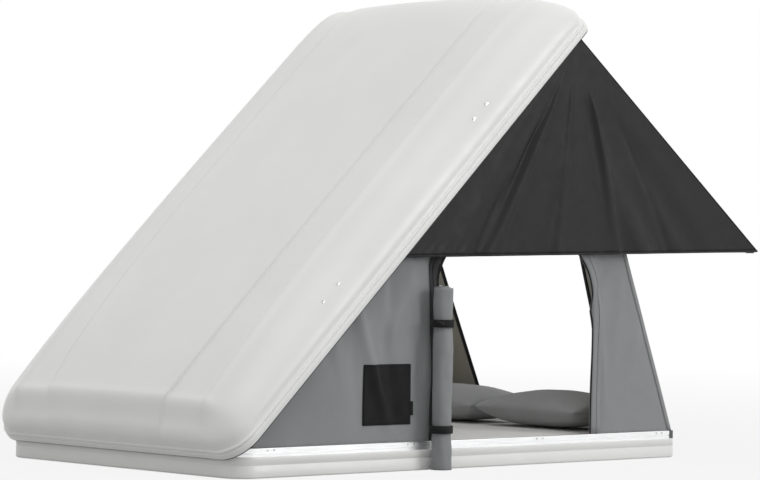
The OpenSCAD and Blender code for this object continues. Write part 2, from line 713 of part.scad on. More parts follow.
function roof_point(b, v, t) = let (
        lift = canopy_t * t,
        y = (1 - 2 * b),
        top = on_lid_line(canopy_corner_run + (canopy_rear_run - canopy_corner_run) * pow(sin(180 * b), 0.6), canopy_top_y * y, canopy_drop),
        low = [tip_x, canopy_y * y, tip_z],
        sag = -26 * sin(180 * v) * sin(180 * b))
    mix(top, low, v) + (sag + lift) * [-sin(bow_dir), 0, cos(bow_dir)];
function canopy_line(v, t) = concat(
    [for (i = [0:side_columns - 1]) side_point(i / side_columns, v, t * canopy_t)],
    [for (i = [0:roof_columns]) roof_point(i / roof_columns, v, t) + [0, t * canopy_t * (1 - 2 * i / roof_columns), 0]],
    [for (i = [side_columns - 1:-1:0]) let (p = side_point(i / side_columns, v, t * canopy_t)) [p[0], -p[1], p[2]]]);

module awning_canopy() color("dimgray") slab(
    [for (r = [0:canopy_rows]) canopy_line(r / canopy_rows, 0)],
    [for (r = [0:canopy_rows]) canopy_line(r / canopy_rows, 1)]);

// Tent walls: columns run from the front to the rear edge, rows from the rail to the lid
wall_foot = rail_top + seat;
wall_front_x = track_x0 - 30;
wall_rear_x = rail_x - rail_w / 2;
wall_top_front = opened([track_x0, 0, track_z - seat]);
wall_top_rear = opened([rear_track_x - rear_track_w, 0, track_z - seat]);
wall_columns = 16;
wall_rows = 7;
function wall_point(a, v, t) = let (
        foot = [mix(wall_front_x, wall_rear_x, a), 0, wall_foot],
        top = mix(wall_top_front, wall_top_rear, a),
        p = mix(foot, top, v),
        f = wall_fold * sin(180 * v) * (0.5 - 0.5 * cos(360 * 5 * a)))
    [p[0], wall_y - f - t, p[2]];

module door_outline() {
    z0 = rail_top - cut;
    z1 = rail_top + door_h;
    difference() {
        translate([door_front, z0]) square([door_rear - door_front, z1 - z0]);
        translate([door_front - cut, z1 - door_front_r]) difference() {
            square([door_front_r + cut, door_front_r + cut]);
            translate([door_front_r + cut, 0]) circle(r = door_front_r);
        }
        translate([door_rear - door_rear_r, z1 - door_rear_r]) difference() {
            square([door_rear_r + cut, door_rear_r + cut]);
            circle(r = door_rear_r);
        }
    }
}

module wall_side(s) color("darkgray") on_side(s) difference() {
    slab([for (c = [0:wall_columns]) [for (r = [0:wall_rows]) wall_point(c / wall_columns, r / wall_rows, 0)]],
         [for (c = [0:wall_columns]) [for (r = [0:wall_rows]) wall_point(c / wall_columns, r / wall_rows, cloth_t)]]);
    translate([0, wall_y + 20, 0]) rotate([90, 0, 0]) linear_extrude(60) door_outline();
}

module wall_left() wall_side(-1);
module wall_right() wall_side(1);

rear_wall_len = norm([wall_top_rear[0] - wall_rear_x, wall_top_rear[2] - wall_foot]);
rear_wall_tilt = atan2(wall_rear_x - wall_top_rear[0], wall_top_rear[2] - wall_foot);
rear_wall_half = wall_y - cloth_t - wall_fold - 2;
rear_door_half = rear_wall_half - rear_margin;

module rear_wall_place() {
    translate([wall_rear_x, 0, wall_foot]) rotate([0, -rear_wall_tilt, 0]) rotate([90, 0, 90]) children();
}

module wall_rear() color("darkgray") rear_wall_place() linear_extrude(cloth_t) difference() {
    translate([-rear_wall_half, 0]) square([2 * rear_wall_half, rear_wall_len - 4]);
    difference() {
        polygon([[-rear_door_half, -cut], [rear_door_half, -cut],
                 [rear_door_half + rear_door_gain, rear_door_h - rear_door_r],
                 [rear_door_half + rear_door_gain - rear_door_r, rear_door_h],
                 [-rear_door_half - rear_door_gain + rear_door_r, rear_door_h],
                 [-rear_door_half - rear_door_gain, rear_door_h - rear_door_r]]);
    }
}

module rear_door_roll() color("darkgray") rear_wall_place()
    translate([0, rear_door_h + rear_roll_r + 12, -rear_roll_r - seat]) rotate([0, 90, 0])
        translate([0, 0, -rear_door_half]) cylinder(r = rear_roll_r, h = 2 * rear_door_half);

// Rolled side doors hang outside the rail from the front edge of each door
roll_y = base_y + roll_r + 3;
roll_x = door_front - roll_r - 2;
strap_pinch = 2;

module door_roll(s) color("darkgray") on_side(s) {
    translate([roll_x, roll_y, 0]) rotate_extrude() polygon([
        [0, roll_bottom], [roll_r * 0.8, roll_bottom], [roll_r, roll_bottom + 24],
        [roll_r, strap_heights[0] - strap_w], [roll_r - strap_pinch, strap_heights[0] - strap_w / 2],
        [roll_r - strap_pinch, strap_heights[0] + strap_w / 2], [roll_r, strap_heights[0] + strap_w],
        [roll_r, strap_heights[1] - strap_w], [roll_r - strap_pinch, strap_heights[1] - strap_w / 2],
        [roll_r - strap_pinch, strap_heights[1] + strap_w / 2], [roll_r, strap_heights[1] + strap_w],
        [roll_r * 0.9, roll_top - 12], [roll_r * 0.7, roll_top], [0, roll_top]]);
    translate([0, 0, strap_heights[0] + strap_w]) linear_extrude(strap_heights[1] - strap_heights[0] - 2 * strap_w)
        polygon([[door_front - 14, wall_y + seat], [door_front - 11, wall_y + seat],
                 [roll_x + roll_r - 4, roll_y], [roll_x + roll_r - 8, roll_y]]);
}

module door_roll_left() door_roll(-1);
module door_roll_right() door_roll(1);

module roll_straps() color("black") for (s = [-1, 1], z = strap_heights) on_side(s)
    translate([roll_x, roll_y, z - strap_w / 2]) rotate_extrude()
        translate([roll_r - strap_pinch + 0.05, 0]) square([strap_t, strap_w]);

patch_x = door_front - patch_gap - patch_w;
patch_z = rail_top + 58;
patch_y = wall_y + seat;

module label_patch() color("black") on_side(-1) translate([patch_x, patch_y, patch_z]) {
    cube([patch_w, patch_t, patch_h]);
    translate([patch_w, 0, patch_h * 0.14]) cube([10, patch_t, patch_h * 0.25]);
}

// Bedding
bed_half = base_y - tray_wall - mattress_gap;
bed_x = base_x - tray_wall - mattress_gap / 3;
crown = 8;
grid = [for (i = [0:10]) -cos(18 * i)];
function pad_up(u, v, p) = pow(max((1 - pow(abs(u), p)) * (1 - pow(abs(v), p)), 0), 0.5);

module mattress() color("lightgray") slab(
    [for (u = grid) [for (v = grid) [u * bed_x, v * bed_half, bed_z]]],
    [for (u = grid) [for (v = grid) [u * bed_x, v * bed_half, bed_z + mattress_t - crown + crown * pad_up(u, v, 8)]]]);

pillow_waist = 0.07;
pillow_seam = 3;
pillow_len = bed_half - pillow_gap / 2 - pillow_in;
pillow_x = base_x - tray_wall - pillow_back - pillow_w / 2;
pillow_z = bed_z + mattress_t - 0.4;
function pillow_point(u, v, k) = [
    u * pillow_w / 2 * (1 - pillow_waist * (1 - v * v)),
    v * pillow_len / 2 * (1 - pillow_waist * (1 - u * u)),
    pillow_h / 2 + k * (pillow_seam / 2 + (pillow_h / 2 - pillow_seam / 2) * pad_up(u, v, k > 0 ? 2.2 : 3.4))];

module pillow(s) color("gray") translate([pillow_x, s * (pillow_len + pillow_gap) / 2, pillow_z]) slab(
    [for (u = grid) [for (v = grid) pillow_point(u, v, -1)]],
    [for (u = grid) [for (v = grid) pillow_point(u, v, 1)]]);

module pillow_left() pillow(-1);
module pillow_right() pillow(1);

// Rear latches: a hook on the base catches a bar inside the lid rim
latch_x = base_x + 15;
latch_z = tray_h - 9;
hook_half = 8;
ear_t = 4;
ear_gap = 0.5;
keeper_x = base_x + 20;
keeper_z = rim_z + 13;
keeper_r = 4;
keeper_gap = 0.5;
rear_rim_x = lid_x0 + lid_len - rim_t;
hook_arm = 7;

module latch_bracket(s) color("dimgray") translate([0, s * latch_y, 0]) {
    translate([base_x, -25, 30]) cube([3, 50, tray_h - 30]);
    for (k = [-1, 1]) on_side(k) translate([base_x, hook_half + ear_gap, latch_z - 14])
        cube([latch_x - base_x + 6, ear_t, 20]);
    translate([latch_x, 0, latch_z]) rod_y(pin_r, -hook_half - ear_gap - ear_t, hook_half + ear_gap + ear_t);
}

module latch_bracket_left() latch_bracket(-1);
module latch_bracket_right() latch_bracket(1);

module latch_hook(s) color("silver") translate([latch_x, s * latch_y, latch_z]) rotate([0, latch_swing, 0]) {
    jaw_z = keeper_z + keeper_r + keeper_gap - latch_z;
    arm_x = keeper_x - keeper_r - keeper_gap - latch_x;
    difference() {
        union() {
            rod_y(hook_arm, -hook_half, hook_half);
            translate([0, hook_half, 0]) rotate([90, 0, 0]) linear_extrude(2 * hook_half)
                polygon([[arm_x - hook_arm, -3], [arm_x, -3], [arm_x, jaw_z], [arm_x + 9, jaw_z],
                         [arm_x + 9, jaw_z + 4], [arm_x + 5, jaw_z + 7], [arm_x - hook_arm, jaw_z + 7]]);
            translate([0, -hook_half, -2]) cube([over_rear - 4, 2 * hook_half, 5]);
        }
        rod_y(pin_r + run_fit, -lid_w, lid_w);
    }
}

module latch_hook_left() latch_hook(-1);
module latch_hook_right() latch_hook(1);

module latch_keepers() color("dimgray") on_lid() for (s = [-1, 1]) translate([0, s * latch_y, 0]) {
    translate([rear_rim_x - 3, -26, rim_z + 2]) cube([3, 52, 24]);
    for (k = [-1, 1]) on_side(k) translate([keeper_x - keeper_r - 1, hook_half + 8, keeper_z - 7])
        cube([rear_rim_x - keeper_x + keeper_r, ear_t, 14]);
    translate([keeper_x, 0, keeper_z]) rod_y(keeper_r, -hook_half - 10, hook_half + 10);
}

base_shell();
floor_panel();
mounting_channel_left();
mounting_channel_right();
rail_left();
rail_right();
rail_front();
rail_rear();
rail_end_caps();
rail_screws();
hinge_base_leaf_left();
hinge_base_leaf_right();
hinge_pins();
hinge_lid_leaf_left();
hinge_lid_leaf_right();
lid_shell();
lid_seal();
lid_track_left();
lid_track_right();
lid_track_rear();
lid_crossbar_front();
lid_crossbar_rear();
lid_bolts();
lid_liner();
strut_base_bracket_left();
strut_base_bracket_right();
strut_barrel_left();
strut_barrel_right();
strut_rod_left();
strut_rod_right();
strut_lid_bracket_left();
strut_lid_bracket_right();
bow_bracket_left();
bow_bracket_right();
bow_arm_left();
bow_arm_right();
bow_corners();
bow_crossbar();
awning_canopy();
wall_left();
wall_right();
wall_rear();
rear_door_roll();
door_roll_left();
door_roll_right();
roll_straps();
label_patch();
mattress();
pillow_left();
pillow_right();
latch_bracket_left();
latch_bracket_right();
latch_hook_left();
latch_hook_right();
latch_keepers();
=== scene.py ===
# Hard-shell roof tent, open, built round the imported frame.
import json
import math

import bmesh
import bpy
import numpy as np
from mathutils import Matrix, Vector, geometry, noise


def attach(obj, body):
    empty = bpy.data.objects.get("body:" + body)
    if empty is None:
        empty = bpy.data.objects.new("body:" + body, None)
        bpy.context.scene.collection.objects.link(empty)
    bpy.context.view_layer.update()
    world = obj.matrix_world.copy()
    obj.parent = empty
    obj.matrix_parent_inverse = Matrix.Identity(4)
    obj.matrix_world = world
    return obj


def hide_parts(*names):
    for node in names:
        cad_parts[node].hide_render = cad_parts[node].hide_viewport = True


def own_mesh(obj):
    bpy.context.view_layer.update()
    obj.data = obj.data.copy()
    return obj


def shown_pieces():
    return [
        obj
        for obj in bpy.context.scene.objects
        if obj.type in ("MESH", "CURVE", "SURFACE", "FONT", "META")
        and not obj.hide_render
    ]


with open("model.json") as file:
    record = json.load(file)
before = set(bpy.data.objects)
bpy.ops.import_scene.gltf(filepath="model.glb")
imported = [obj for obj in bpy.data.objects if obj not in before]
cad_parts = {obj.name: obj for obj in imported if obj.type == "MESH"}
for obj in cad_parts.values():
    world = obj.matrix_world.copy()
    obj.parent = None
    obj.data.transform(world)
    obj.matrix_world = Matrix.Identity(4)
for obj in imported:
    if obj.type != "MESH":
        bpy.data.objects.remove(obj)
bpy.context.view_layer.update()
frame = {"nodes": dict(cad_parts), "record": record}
sceneNow = bpy.context.scene
sceneNow.view_settings.view_transform = "Standard"
print("frame loaded:", len(frame["nodes"]), "nodes")

# Sizes that several pieces share, in metres, in the frame of the part
tent = {
    "baseX": 1.030, "baseY": 0.618, "trayHeight": 0.068,
    "hingeX": -1.040, "hingeZ": 0.104, "openAngle": math.radians(43),
    "lidFront": -1.072, "lidLength": 2.150, "lidWidth": 1.300, "rimZ": 0.072,
    "wallY": 0.606, "wallFoot": 0.0963, "wallFrontX": -0.960, "wallRearX": 1.015,
    "trackZ": 0.1257, "trackFrontX": -0.930, "trackRearX": 1.0295,
    "bowX": 0.990, "bowZ": 0.109, "bowLength": 1.236, "bowAngle": math.radians(80.3),
}
sides = ((-1, "Left"), (1, "Right"))


def swungOpen(points):  # closed-lid points moved to the open lid
    p = np.asarray(points, float)
    x = p[..., 0] - tent["hingeX"]
    z = p[..., 2] - tent["hingeZ"]
    c, s = math.cos(tent["openAngle"]), math.sin(tent["openAngle"])
    return np.stack([tent["hingeX"] + x * c - z * s, p[..., 1], tent["hingeZ"] + x * s + z * c], -1)


def smooth(t):
    t = np.clip(t, 0, 1)
    return t * t * (3 - 2 * t)


def mix(a, b, t):
    return a + (b - a) * t


def hump(t, at, wide):
    return np.exp(-((t - at) / wide) ** 2)


def ripple(points, scale, seed):  # smooth repeatable noise, about -1 to 1
    return np.array([noise.noise(Vector((p[0] * scale + seed, p[1] * scale, p[2] * scale))) for p in points])


def scatter(k, seed):  # repeatable numbers from 0 to 1
    return math.modf(abs(math.sin(k * 12.9898 + seed * 78.233)) * 43758.5453)[0]


# Camera solved from the photograph
cameraView = {
    "place": (-7.298, -8.08, 0.741), "azimuth": 42.614, "pitch": 0.1232, "roll": 0.8472,
    "lens": 146.51, "sensor": 36, "reach": 200,
}


def makeCamera(v):
    a, p, r = (math.radians(v[k]) for k in ("azimuth", "pitch", "roll"))
    forward = Vector((math.sin(a) * math.cos(p), math.cos(a) * math.cos(p), math.sin(p)))
    right = forward.cross(Vector((0, 0, 1))).normalized()
    up = right.cross(forward)
    rightR = right * math.cos(r) + up * math.sin(r)
    upR = up * math.cos(r) - right * math.sin(r)
    data = bpy.data.cameras.new("photoCamera")
    data.sensor_fit = "HORIZONTAL"
    data.sensor_width = v["sensor"]
    data.lens = v["lens"]
    data.clip_end = v["reach"]
    cam = bpy.data.objects.new("photoCamera", data)
    sceneNow.collection.objects.link(cam)
    turn = Matrix((rightR, upR, -forward)).transposed().to_4x4()
    cam.matrix_world = Matrix.Translation(Vector(v["place"])) @ turn
    sceneNow.camera = cam


makeCamera(cameraView)
print("camera set")


# Materials: node helpers
def blankMaterial(name):
    m = bpy.data.materials.new(name)
    m.use_nodes = True
    t = m.node_tree
    return m, t, t.nodes["Principled BSDF"]


def addNode(tree, kind, **values):
    n = tree.nodes.new(kind)
    for k, v in values.items():
        setattr(n, k, v)
    return n


def setInputs(node, values):
    for key, value in values.items():
        node.inputs[key].default_value = value


def wire(tree, *pairs):
    for start, end in pairs:
        tree.links.new(start, end)


def objectCoords(tree, scale):
    c = addNode(tree, "ShaderNodeTexCoord")
    m = addNode(tree, "ShaderNodeMapping")
    m.inputs["Scale"].default_value = scale
    tree.links.new(c.outputs["Object"], m.inputs["Vector"])
    return m.outputs["Vector"]


def noiseTexture(tree, vector, scale, detail=4.0, rough=0.55):
    n = addNode(tree, "ShaderNodeTexNoise")
    setInputs(n, {"Scale": scale, "Detail": detail, "Roughness": rough})
    tree.links.new(vector, n.inputs["Vector"])
    return n.outputs["Fac"]


def ramp(tree, fac, low, high, start=0.3, end=0.7):
    r = addNode(tree, "ShaderNodeValToRGB")
    r.color_ramp.elements[0].position = start
    r.color_ramp.elements[1].position = end
    r.color_ramp.elements[0].color = (*low, 1)
    r.color_ramp.elements[1].color = (*high, 1)
    tree.links.new(fac, r.inputs["Fac"])
    return r.outputs["Color"]


def spread(tree, fac, low, high):  # noise to a number range
    r = addNode(tree, "ShaderNodeMapRange")
    setInputs(r, {"From Min": 0.3, "From Max": 0.7, "To Min": low, "To Max": high})
    tree.links.new(fac, r.inputs["Value"])
    return r.outputs["Result"]


def bump(tree, height, strength, distance, after=None):
    b = addNode(tree, "ShaderNodeBump")
    setInputs(b, {"Strength": strength, "Distance": distance})
    tree.links.new(height, b.inputs["Height"])
    if after is not None:
        tree.links.new(after, b.inputs["Normal"])
    return b.outputs["Normal"]


def shaded(colour, k):
    return tuple(min(c * k, 1.0) for c in colour)


def gelcoat(name, colour, rough=0.36, coat=0.10):  # moulded white skin with a faint orange peel
    m, t, s = blankMaterial(name)
    v = objectCoords(t, (1, 1, 1))
    tone = noiseTexture(t, v, 2.2, 3)
    t.links.new(ramp(t, tone, shaded(colour, 0.965), shaded(colour, 1.02)), s.inputs["Base Color"])
    t.links.new(spread(t, noiseTexture(t, v, 14, 3), rough - 0.05, rough + 0.07), s.inputs["Roughness"])
    t.links.new(bump(t, noiseTexture(t, v, 26, 2), 0.015, 0.0006), s.inputs["Normal"])
    setInputs(s, {"Coat Weight": coat, "Coat Roughness": 0.30})
    return m


def satinAlloy(name, colour, rough=0.34, grain=(4, 240, 240)):  # drawn along X
    m, t, s = blankMaterial(name)
    v = objectCoords(t, grain)
    lines = noiseTexture(t, v, 3, 3)
    t.links.new(ramp(t, lines, shaded(colour, 0.93), shaded(colour, 1.04)), s.inputs["Base Color"])
    t.links.new(spread(t, lines, rough - 0.07, rough + 0.09), s.inputs["Roughness"])
    t.links.new(bump(t, lines, 0.08, 0.0004), s.inputs["Normal"])
    s.inputs["Metallic"].default_value = 1.0
    return m


def mouldedPlastic(name, colour, rough=0.5, grain=420):
    m, t, s = blankMaterial(name)
    v = objectCoords(t, (1, 1, 1))
    tone = noiseTexture(t, v, 9, 3)
    t.links.new(ramp(t, tone, shaded(colour, 0.88), shaded(colour, 1.1)), s.inputs["Base Color"])
    t.links.new(spread(t, noiseTexture(t, v, 40, 3), rough - 0.08, rough + 0.08), s.inputs["Roughness"])
    t.links.new(bump(t, noiseTexture(t, v, grain, 2), 0.16, 0.0005), s.inputs["Normal"])
    return m


def wovenCloth(name, colour, rough=0.82, thread=0.0011, weave=0.25, sheen=0.15, crease=0.35, gloss=0.2):
    m, t, s = blankMaterial(name)
    v = objectCoords(t, (1, 1, 1))
    tone = noiseTexture(t, v, 3.1, 4)
    face = ramp(t, tone, shaded(colour, 0.93), shaded(colour, 1.06))
    t.links.new(face, s.inputs["Base Color"])
    heights = []
    for axis in ("X", "Y", "Z"):
        w = addNode(t, "ShaderNodeTexWave", wave_type="BANDS", bands_direction=axis)
        w.inputs["Scale"].default_value = 0.314 / thread  # bands per metre for this thread
        w.inputs["Distortion"].default_value = 0.4
        t.links.new(v, w.inputs["Vector"])
        heights.append(w.outputs["Fac"])
    first = addNode(t, "ShaderNodeMath", operation="MULTIPLY")
    both = addNode(t, "ShaderNodeMath", operation="ADD")
    wire(t, (heights[0], first.inputs[0]), (heights[2], first.inputs[1]), (first.outputs[0], both.inputs[0]),
         (heights[1], both.inputs[1]))
    soft = bump(t, noiseTexture(t, v, 11, 5, 0.6), crease, 0.006)
    t.links.new(bump(t, both.outputs[0], weave, 0.0005, soft), s.inputs["Normal"])
    t.links.new(spread(t, noiseTexture(t, v, 24, 3), rough - 0.06, rough + 0.06), s.inputs["Roughness"])
    setInputs(s, {"Specular IOR Level": gloss, "Sheen Weight": sheen, "Sheen Roughness": 0.5})
    return m


looks = {
    "shell": gelcoat("gelcoatWhite", (0.90, 0.90, 0.888)),
    "panel": mouldedPlastic("panelGrey", (0.42, 0.41, 0.39), 0.6, 160),
    "alloy": satinAlloy("railAlloy", (0.86, 0.865, 0.87)),
    "steel": satinAlloy("fastenerSteel", (0.62, 0.62, 0.63), 0.28, (60, 60, 60)),
    "dark_metal": mouldedPlastic("blackPaint", (0.018, 0.018, 0.019), 0.38, 300),
    "dark_plastic": mouldedPlastic("capPlastic", (0.10, 0.10, 0.105), 0.5),
    "seal": mouldedPlastic("sealRubber", (0.012, 0.012, 0.012), 0.62, 500),
    "tent_fabric": wovenCloth("tentCanvas", (0.310, 0.318, 0.324)),
    "canopy_fabric": wovenCloth("awningCloth", (0.020, 0.020, 0.0215), 0.46, 0.0009, 0.12, 0.0, 0.22, 0.16),
    "strap": wovenCloth("strapWebbing", (0.012, 0.012, 0.013), 0.8, 0.0018, 0.5, 0.1, 0.1),
    "patch": wovenCloth("patchCloth", (0.010, 0.010, 0.011), 0.78, 0.0008, 0.2, 0.05, 0.1),
    "bedding": wovenCloth("mattressCover", (0.78, 0.775, 0.76), 0.85, 0.0012, 0.25, 0.2, 0.2),
    "pillow": wovenCloth("pillowCover", (0.35, 0.353, 0.360), 0.86, 0.0012, 0.3, 0.25, 0.3),
    "inside": wovenCloth("insideCoat", (0.40, 0.385, 0.325)),
    "zip": wovenCloth("zipTape", (0.050, 0.050, 0.052), 0.8, 0.0012, 0.4, 0.1, 0.1),
}
nodeSlots = {e["node"]: e["material_slot"] for e in frame["record"]["subparts"]}
for nodeName, nodeObject in frame["nodes"].items():
    nodeObject.data.materials.clear()
    nodeObject.data.materials.append(looks[nodeSlots[nodeName]])
print("materials made:", len(looks))


# Mesh helpers
def makePiece(name, points, faces, look, body, hides=()):
    mesh = bpy.data.meshes.new(name)
    mesh.from_pydata([tuple(map(float, p)) for p in points], [], [tuple(map(int, f)) for f in faces])
    mesh.validate()
    mesh.update()
    piece = bpy.data.objects.new(name, mesh)
    sceneNow.collection.objects.link(piece)
    mesh.materials.append(looks[look])
    mesh.polygons.foreach_set("use_smooth", [True] * len(mesh.polygons))
    piece["rideOn"] = body
    piece["slotName"] = "strap" if look == "zip" else look
    piece["hides"] = list(hides)
    return piece


def settle(piece):  # modifiers into the mesh, then ride
    bpy.context.view_layer.update()
    if piece.modifiers:
        done = bpy.data.meshes.new_from_object(piece.evaluated_get(bpy.context.evaluated_depsgraph_get()))
        piece.modifiers.clear()
        piece.data = done
    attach(piece, piece["rideOn"])
    if piece["hides"]:
        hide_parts(*piece["hides"])
    for k in ("rideOn", "slotName", "hides"):
        del piece[k]
    return piece


def gridFaces(n, m, first=0, closed=False):
    k = m if closed else m - 1
    faces = []
    for i in range(n - 1):
        here = first + i * m
        faces += [(here + j, here + (j + 1) % m, here + m + (j + 1) % m, here + m + j) for j in range(k)]
    return faces


def gridEdge(n, m):  # the points round a grid, in order
    edge = list(range(m - 1)) + [i * m + m - 1 for i in range(n - 1)]
    return edge + [(n - 1) * m + j for j in range(m - 1, 0, -1)] + [i * m for i in range(n - 1, 0, -1)]


def closedPad(top, low):  # two grids joined round their edge
    n, m = top.shape[:2]
    k = n * m
    faces = gridFaces(n, m) + [tuple(reversed(f)) for f in gridFaces(n, m, k)]
    edge = gridEdge(n, m)
    faces += [(b, a, a + k, b + k) for a, b in zip(edge, edge[1:] + edge[:1])]
    return np.concatenate([top.reshape(-1, 3), low.reshape(-1, 3)]), faces


def turnOutward(piece):
    b = bmesh.new()
    b.from_mesh(piece.data)
    bmesh.ops.remove_doubles(b, verts=b.verts, dist=1e-6)
    bmesh.ops.recalc_face_normals(b, faces=b.faces)
    b.to_mesh(piece.data)
    b.free()
    return piece


def turnFacing(piece, way):
    b = bmesh.new()
    b.from_mesh(piece.data)
    bmesh.ops.recalc_face_normals(b, faces=b.faces)
    if sum(f.normal.dot(way) * f.calc_area() for f in b.faces) < 0:
        bmesh.ops.reverse_faces(b, faces=b.faces)
    b.to_mesh(piece.data)
    b.free()


def smoothByAngle(piece, angle):
    b = bmesh.new()
    b.from_mesh(piece.data)
    for f in b.faces:
        f.smooth = True
    for e in b.edges:
        e.smooth = len(e.link_faces) == 2 and e.calc_face_angle(0) < angle
    b.to_mesh(piece.data)
    b.free()


def addModifier(piece, kind, **values):
    mod = piece.modifiers.new(kind.lower(), kind)
    for k, v in values.items():
        setattr(mod, k, v)
    return mod


def ringsPiece(name, rings, look, body, hides=()):  # lofted rings, capped at both ends
    m = len(rings[0])
    points = [p for r in rings for p in r]
    faces = gridFaces(len(rings), m, closed=True)
    faces += [tuple(range(m - 1, -1, -1)), tuple((len(rings) - 1) * m + i for i in range(m))]
    return turnOutward(makePiece(name, points, faces, look, body, hides))


def tube(name, path, radius, look, body, facets):
    path = [Vector(p) for p in path]
    rings = []
    side = None
    for i, p in enumerate(path):
        along = (path[min(i + 1, len(path) - 1)] - path[max(i - 1, 0)]).normalized()
        if side is None:
            side = along.orthogonal().normalized()
        side = (side - along * side.dot(along)).normalized()
        over = along.cross(side)
        rings.append([p + (side * math.cos(a) + over * math.sin(a)) * radius
                      for a in np.linspace(0, 2 * math.pi, facets, endpoint=False)])
    return ringsPiece(name, rings, look, body)


# Geometry Nodes: a small bar set along a path, for stitches and zip teeth
def barsAlongTree(name, look):
    tree = bpy.data.node_groups.new(name, "GeometryNodeTree")
    tree.interface.new_socket("Geometry", in_out="INPUT", socket_type="NodeSocketGeometry")
    for label, value in (("Spacing", 0.006), ("Length", 0.004), ("Width", 0.001), ("Height", 0.0008)):
        tree.interface.new_socket(label, in_out="INPUT", socket_type="NodeSocketFloat").default_value = value
    tree.interface.new_socket("Geometry", in_out="OUTPUT", socket_type="NodeSocketGeometry")
    start = addNode(tree, "NodeGroupInput")
    end = addNode(tree, "NodeGroupOutput")
    curve = addNode(tree, "GeometryNodeMeshToCurve")
    even = addNode(tree, "GeometryNodeResampleCurve", mode="LENGTH")
    size = addNode(tree, "ShaderNodeCombineXYZ")
    bar = addNode(tree, "GeometryNodeMeshCube")
    tangent = addNode(tree, "GeometryNodeInputTangent")
    turn = addNode(tree, "FunctionNodeAlignRotationToVector", axis="X")
    place = addNode(tree, "GeometryNodeInstanceOnPoints")
    real = addNode(tree, "GeometryNodeRealizeInstances")
    finish = addNode(tree, "GeometryNodeSetMaterial")
    setInputs(finish, {"Material": looks[look]})
    for socket, axis in (("Length", "X"), ("Width", "Y"), ("Height", "Z")):
        wire(tree, (start.outputs[socket], size.inputs[axis]))
    wire(tree, (start.outputs["Geometry"], curve.inputs["Mesh"]),
         (curve.outputs["Curve"], even.inputs["Curve"]), (start.outputs["Spacing"], even.inputs["Length"]),
         (size.outputs["Vector"], bar.inputs["Size"]), (tangent.outputs["Tangent"], turn.inputs["Vector"]),
         (even.outputs["Curve"], place.inputs["Points"]), (bar.outputs["Mesh"], place.inputs["Instance"]),
         (turn.outputs["Rotation"], place.inputs["Rotation"]),
         (place.outputs["Instances"], real.inputs["Geometry"]),
         (real.outputs["Geometry"], finish.inputs["Geometry"]),
         (finish.outputs["Geometry"], end.inputs["Geometry"]))
    return tree


def barsAlong(name, paths, look, body, spacing, length, width, height):
    tree = barsAlongTree(name + "Tree", look)
    points, edges = [], []
    for path in paths:
        edges += [(len(points) + i, len(points) + i + 1) for i in range(len(path) - 1)]
        points += [tuple(map(float, p)) for p in path]
    mesh = bpy.data.meshes.new(name)
    mesh.from_pydata(points, edges, [])
    piece = bpy.data.objects.new(name, mesh)
    sceneNow.collection.objects.link(piece)
    mod = piece.modifiers.new("bars", "NODES")
    mod.node_group = tree
    ids = {s.name: s.identifier for s in tree.interface.items_tree if s.in_out == "INPUT"}
    for label, value in (("Spacing", spacing), ("Length", length), ("Width", width), ("Height", height)):
        mod[ids[label]] = value
    piece["rideOn"], piece["slotName"], piece["hides"] = body, look, []
    return piece


# Lid shell
lid = {
    "frontRadius": 0.102, "rearRadius": 0.050, "rimHeight": 0.036, "rimThick": 0.013, "skin": 0.006,
    "shoulderFront": 0.139, "shoulderGain": 0.071, "crown": 0.018, "sideRound": 0.250, "sidePower": 2.3,
    "frontRound": 0.140, "rearRound": 0.300, "rearPower": 3.0, "panelFront": 0.290, "panelGain": 0.080,
    "panelStep": 0.010, "panelEdge": 0.006, "panelRun": 0.35, "shoulderRun": 0.38, "crownRun": 0.5,
    "ridge": 0.009, "ridgeAt": 0.500, "ridgeWide": 0.018, "ridgeFade": 0.12,
    "brow": 0.007, "browAt": 0.100, "browWide": 0.020, "browHalf": 0.60, "browFade": 0.12, "browStart": 0.02,
    "dip": 1.2, "dipAt": 0.048, "dipWide": 0.024, "valley": 0.006, "valleyFade": 0.035, "noseEnd": 0.30,
}


def cornerIn(d, r):
    d = np.clip(d, 0, r)
    return r - np.sqrt(np.maximum(r * r - (r - d) ** 2, 0))


def quarter(t, power=2.0):
    return (1 - (1 - np.clip(t, 0, 1)) ** power) ** (1 / power)


def lidHalf(e):
    return tent["lidWidth"] / 2 - np.maximum(cornerIn(e, lid["frontRadius"]),
                                             cornerIn(tent["lidLength"] - e, lid["rearRadius"]))


def panelHalf(e):
    return lid["panelFront"] + lid["panelGain"] * (1 - np.exp(-e / lid["panelRun"]))


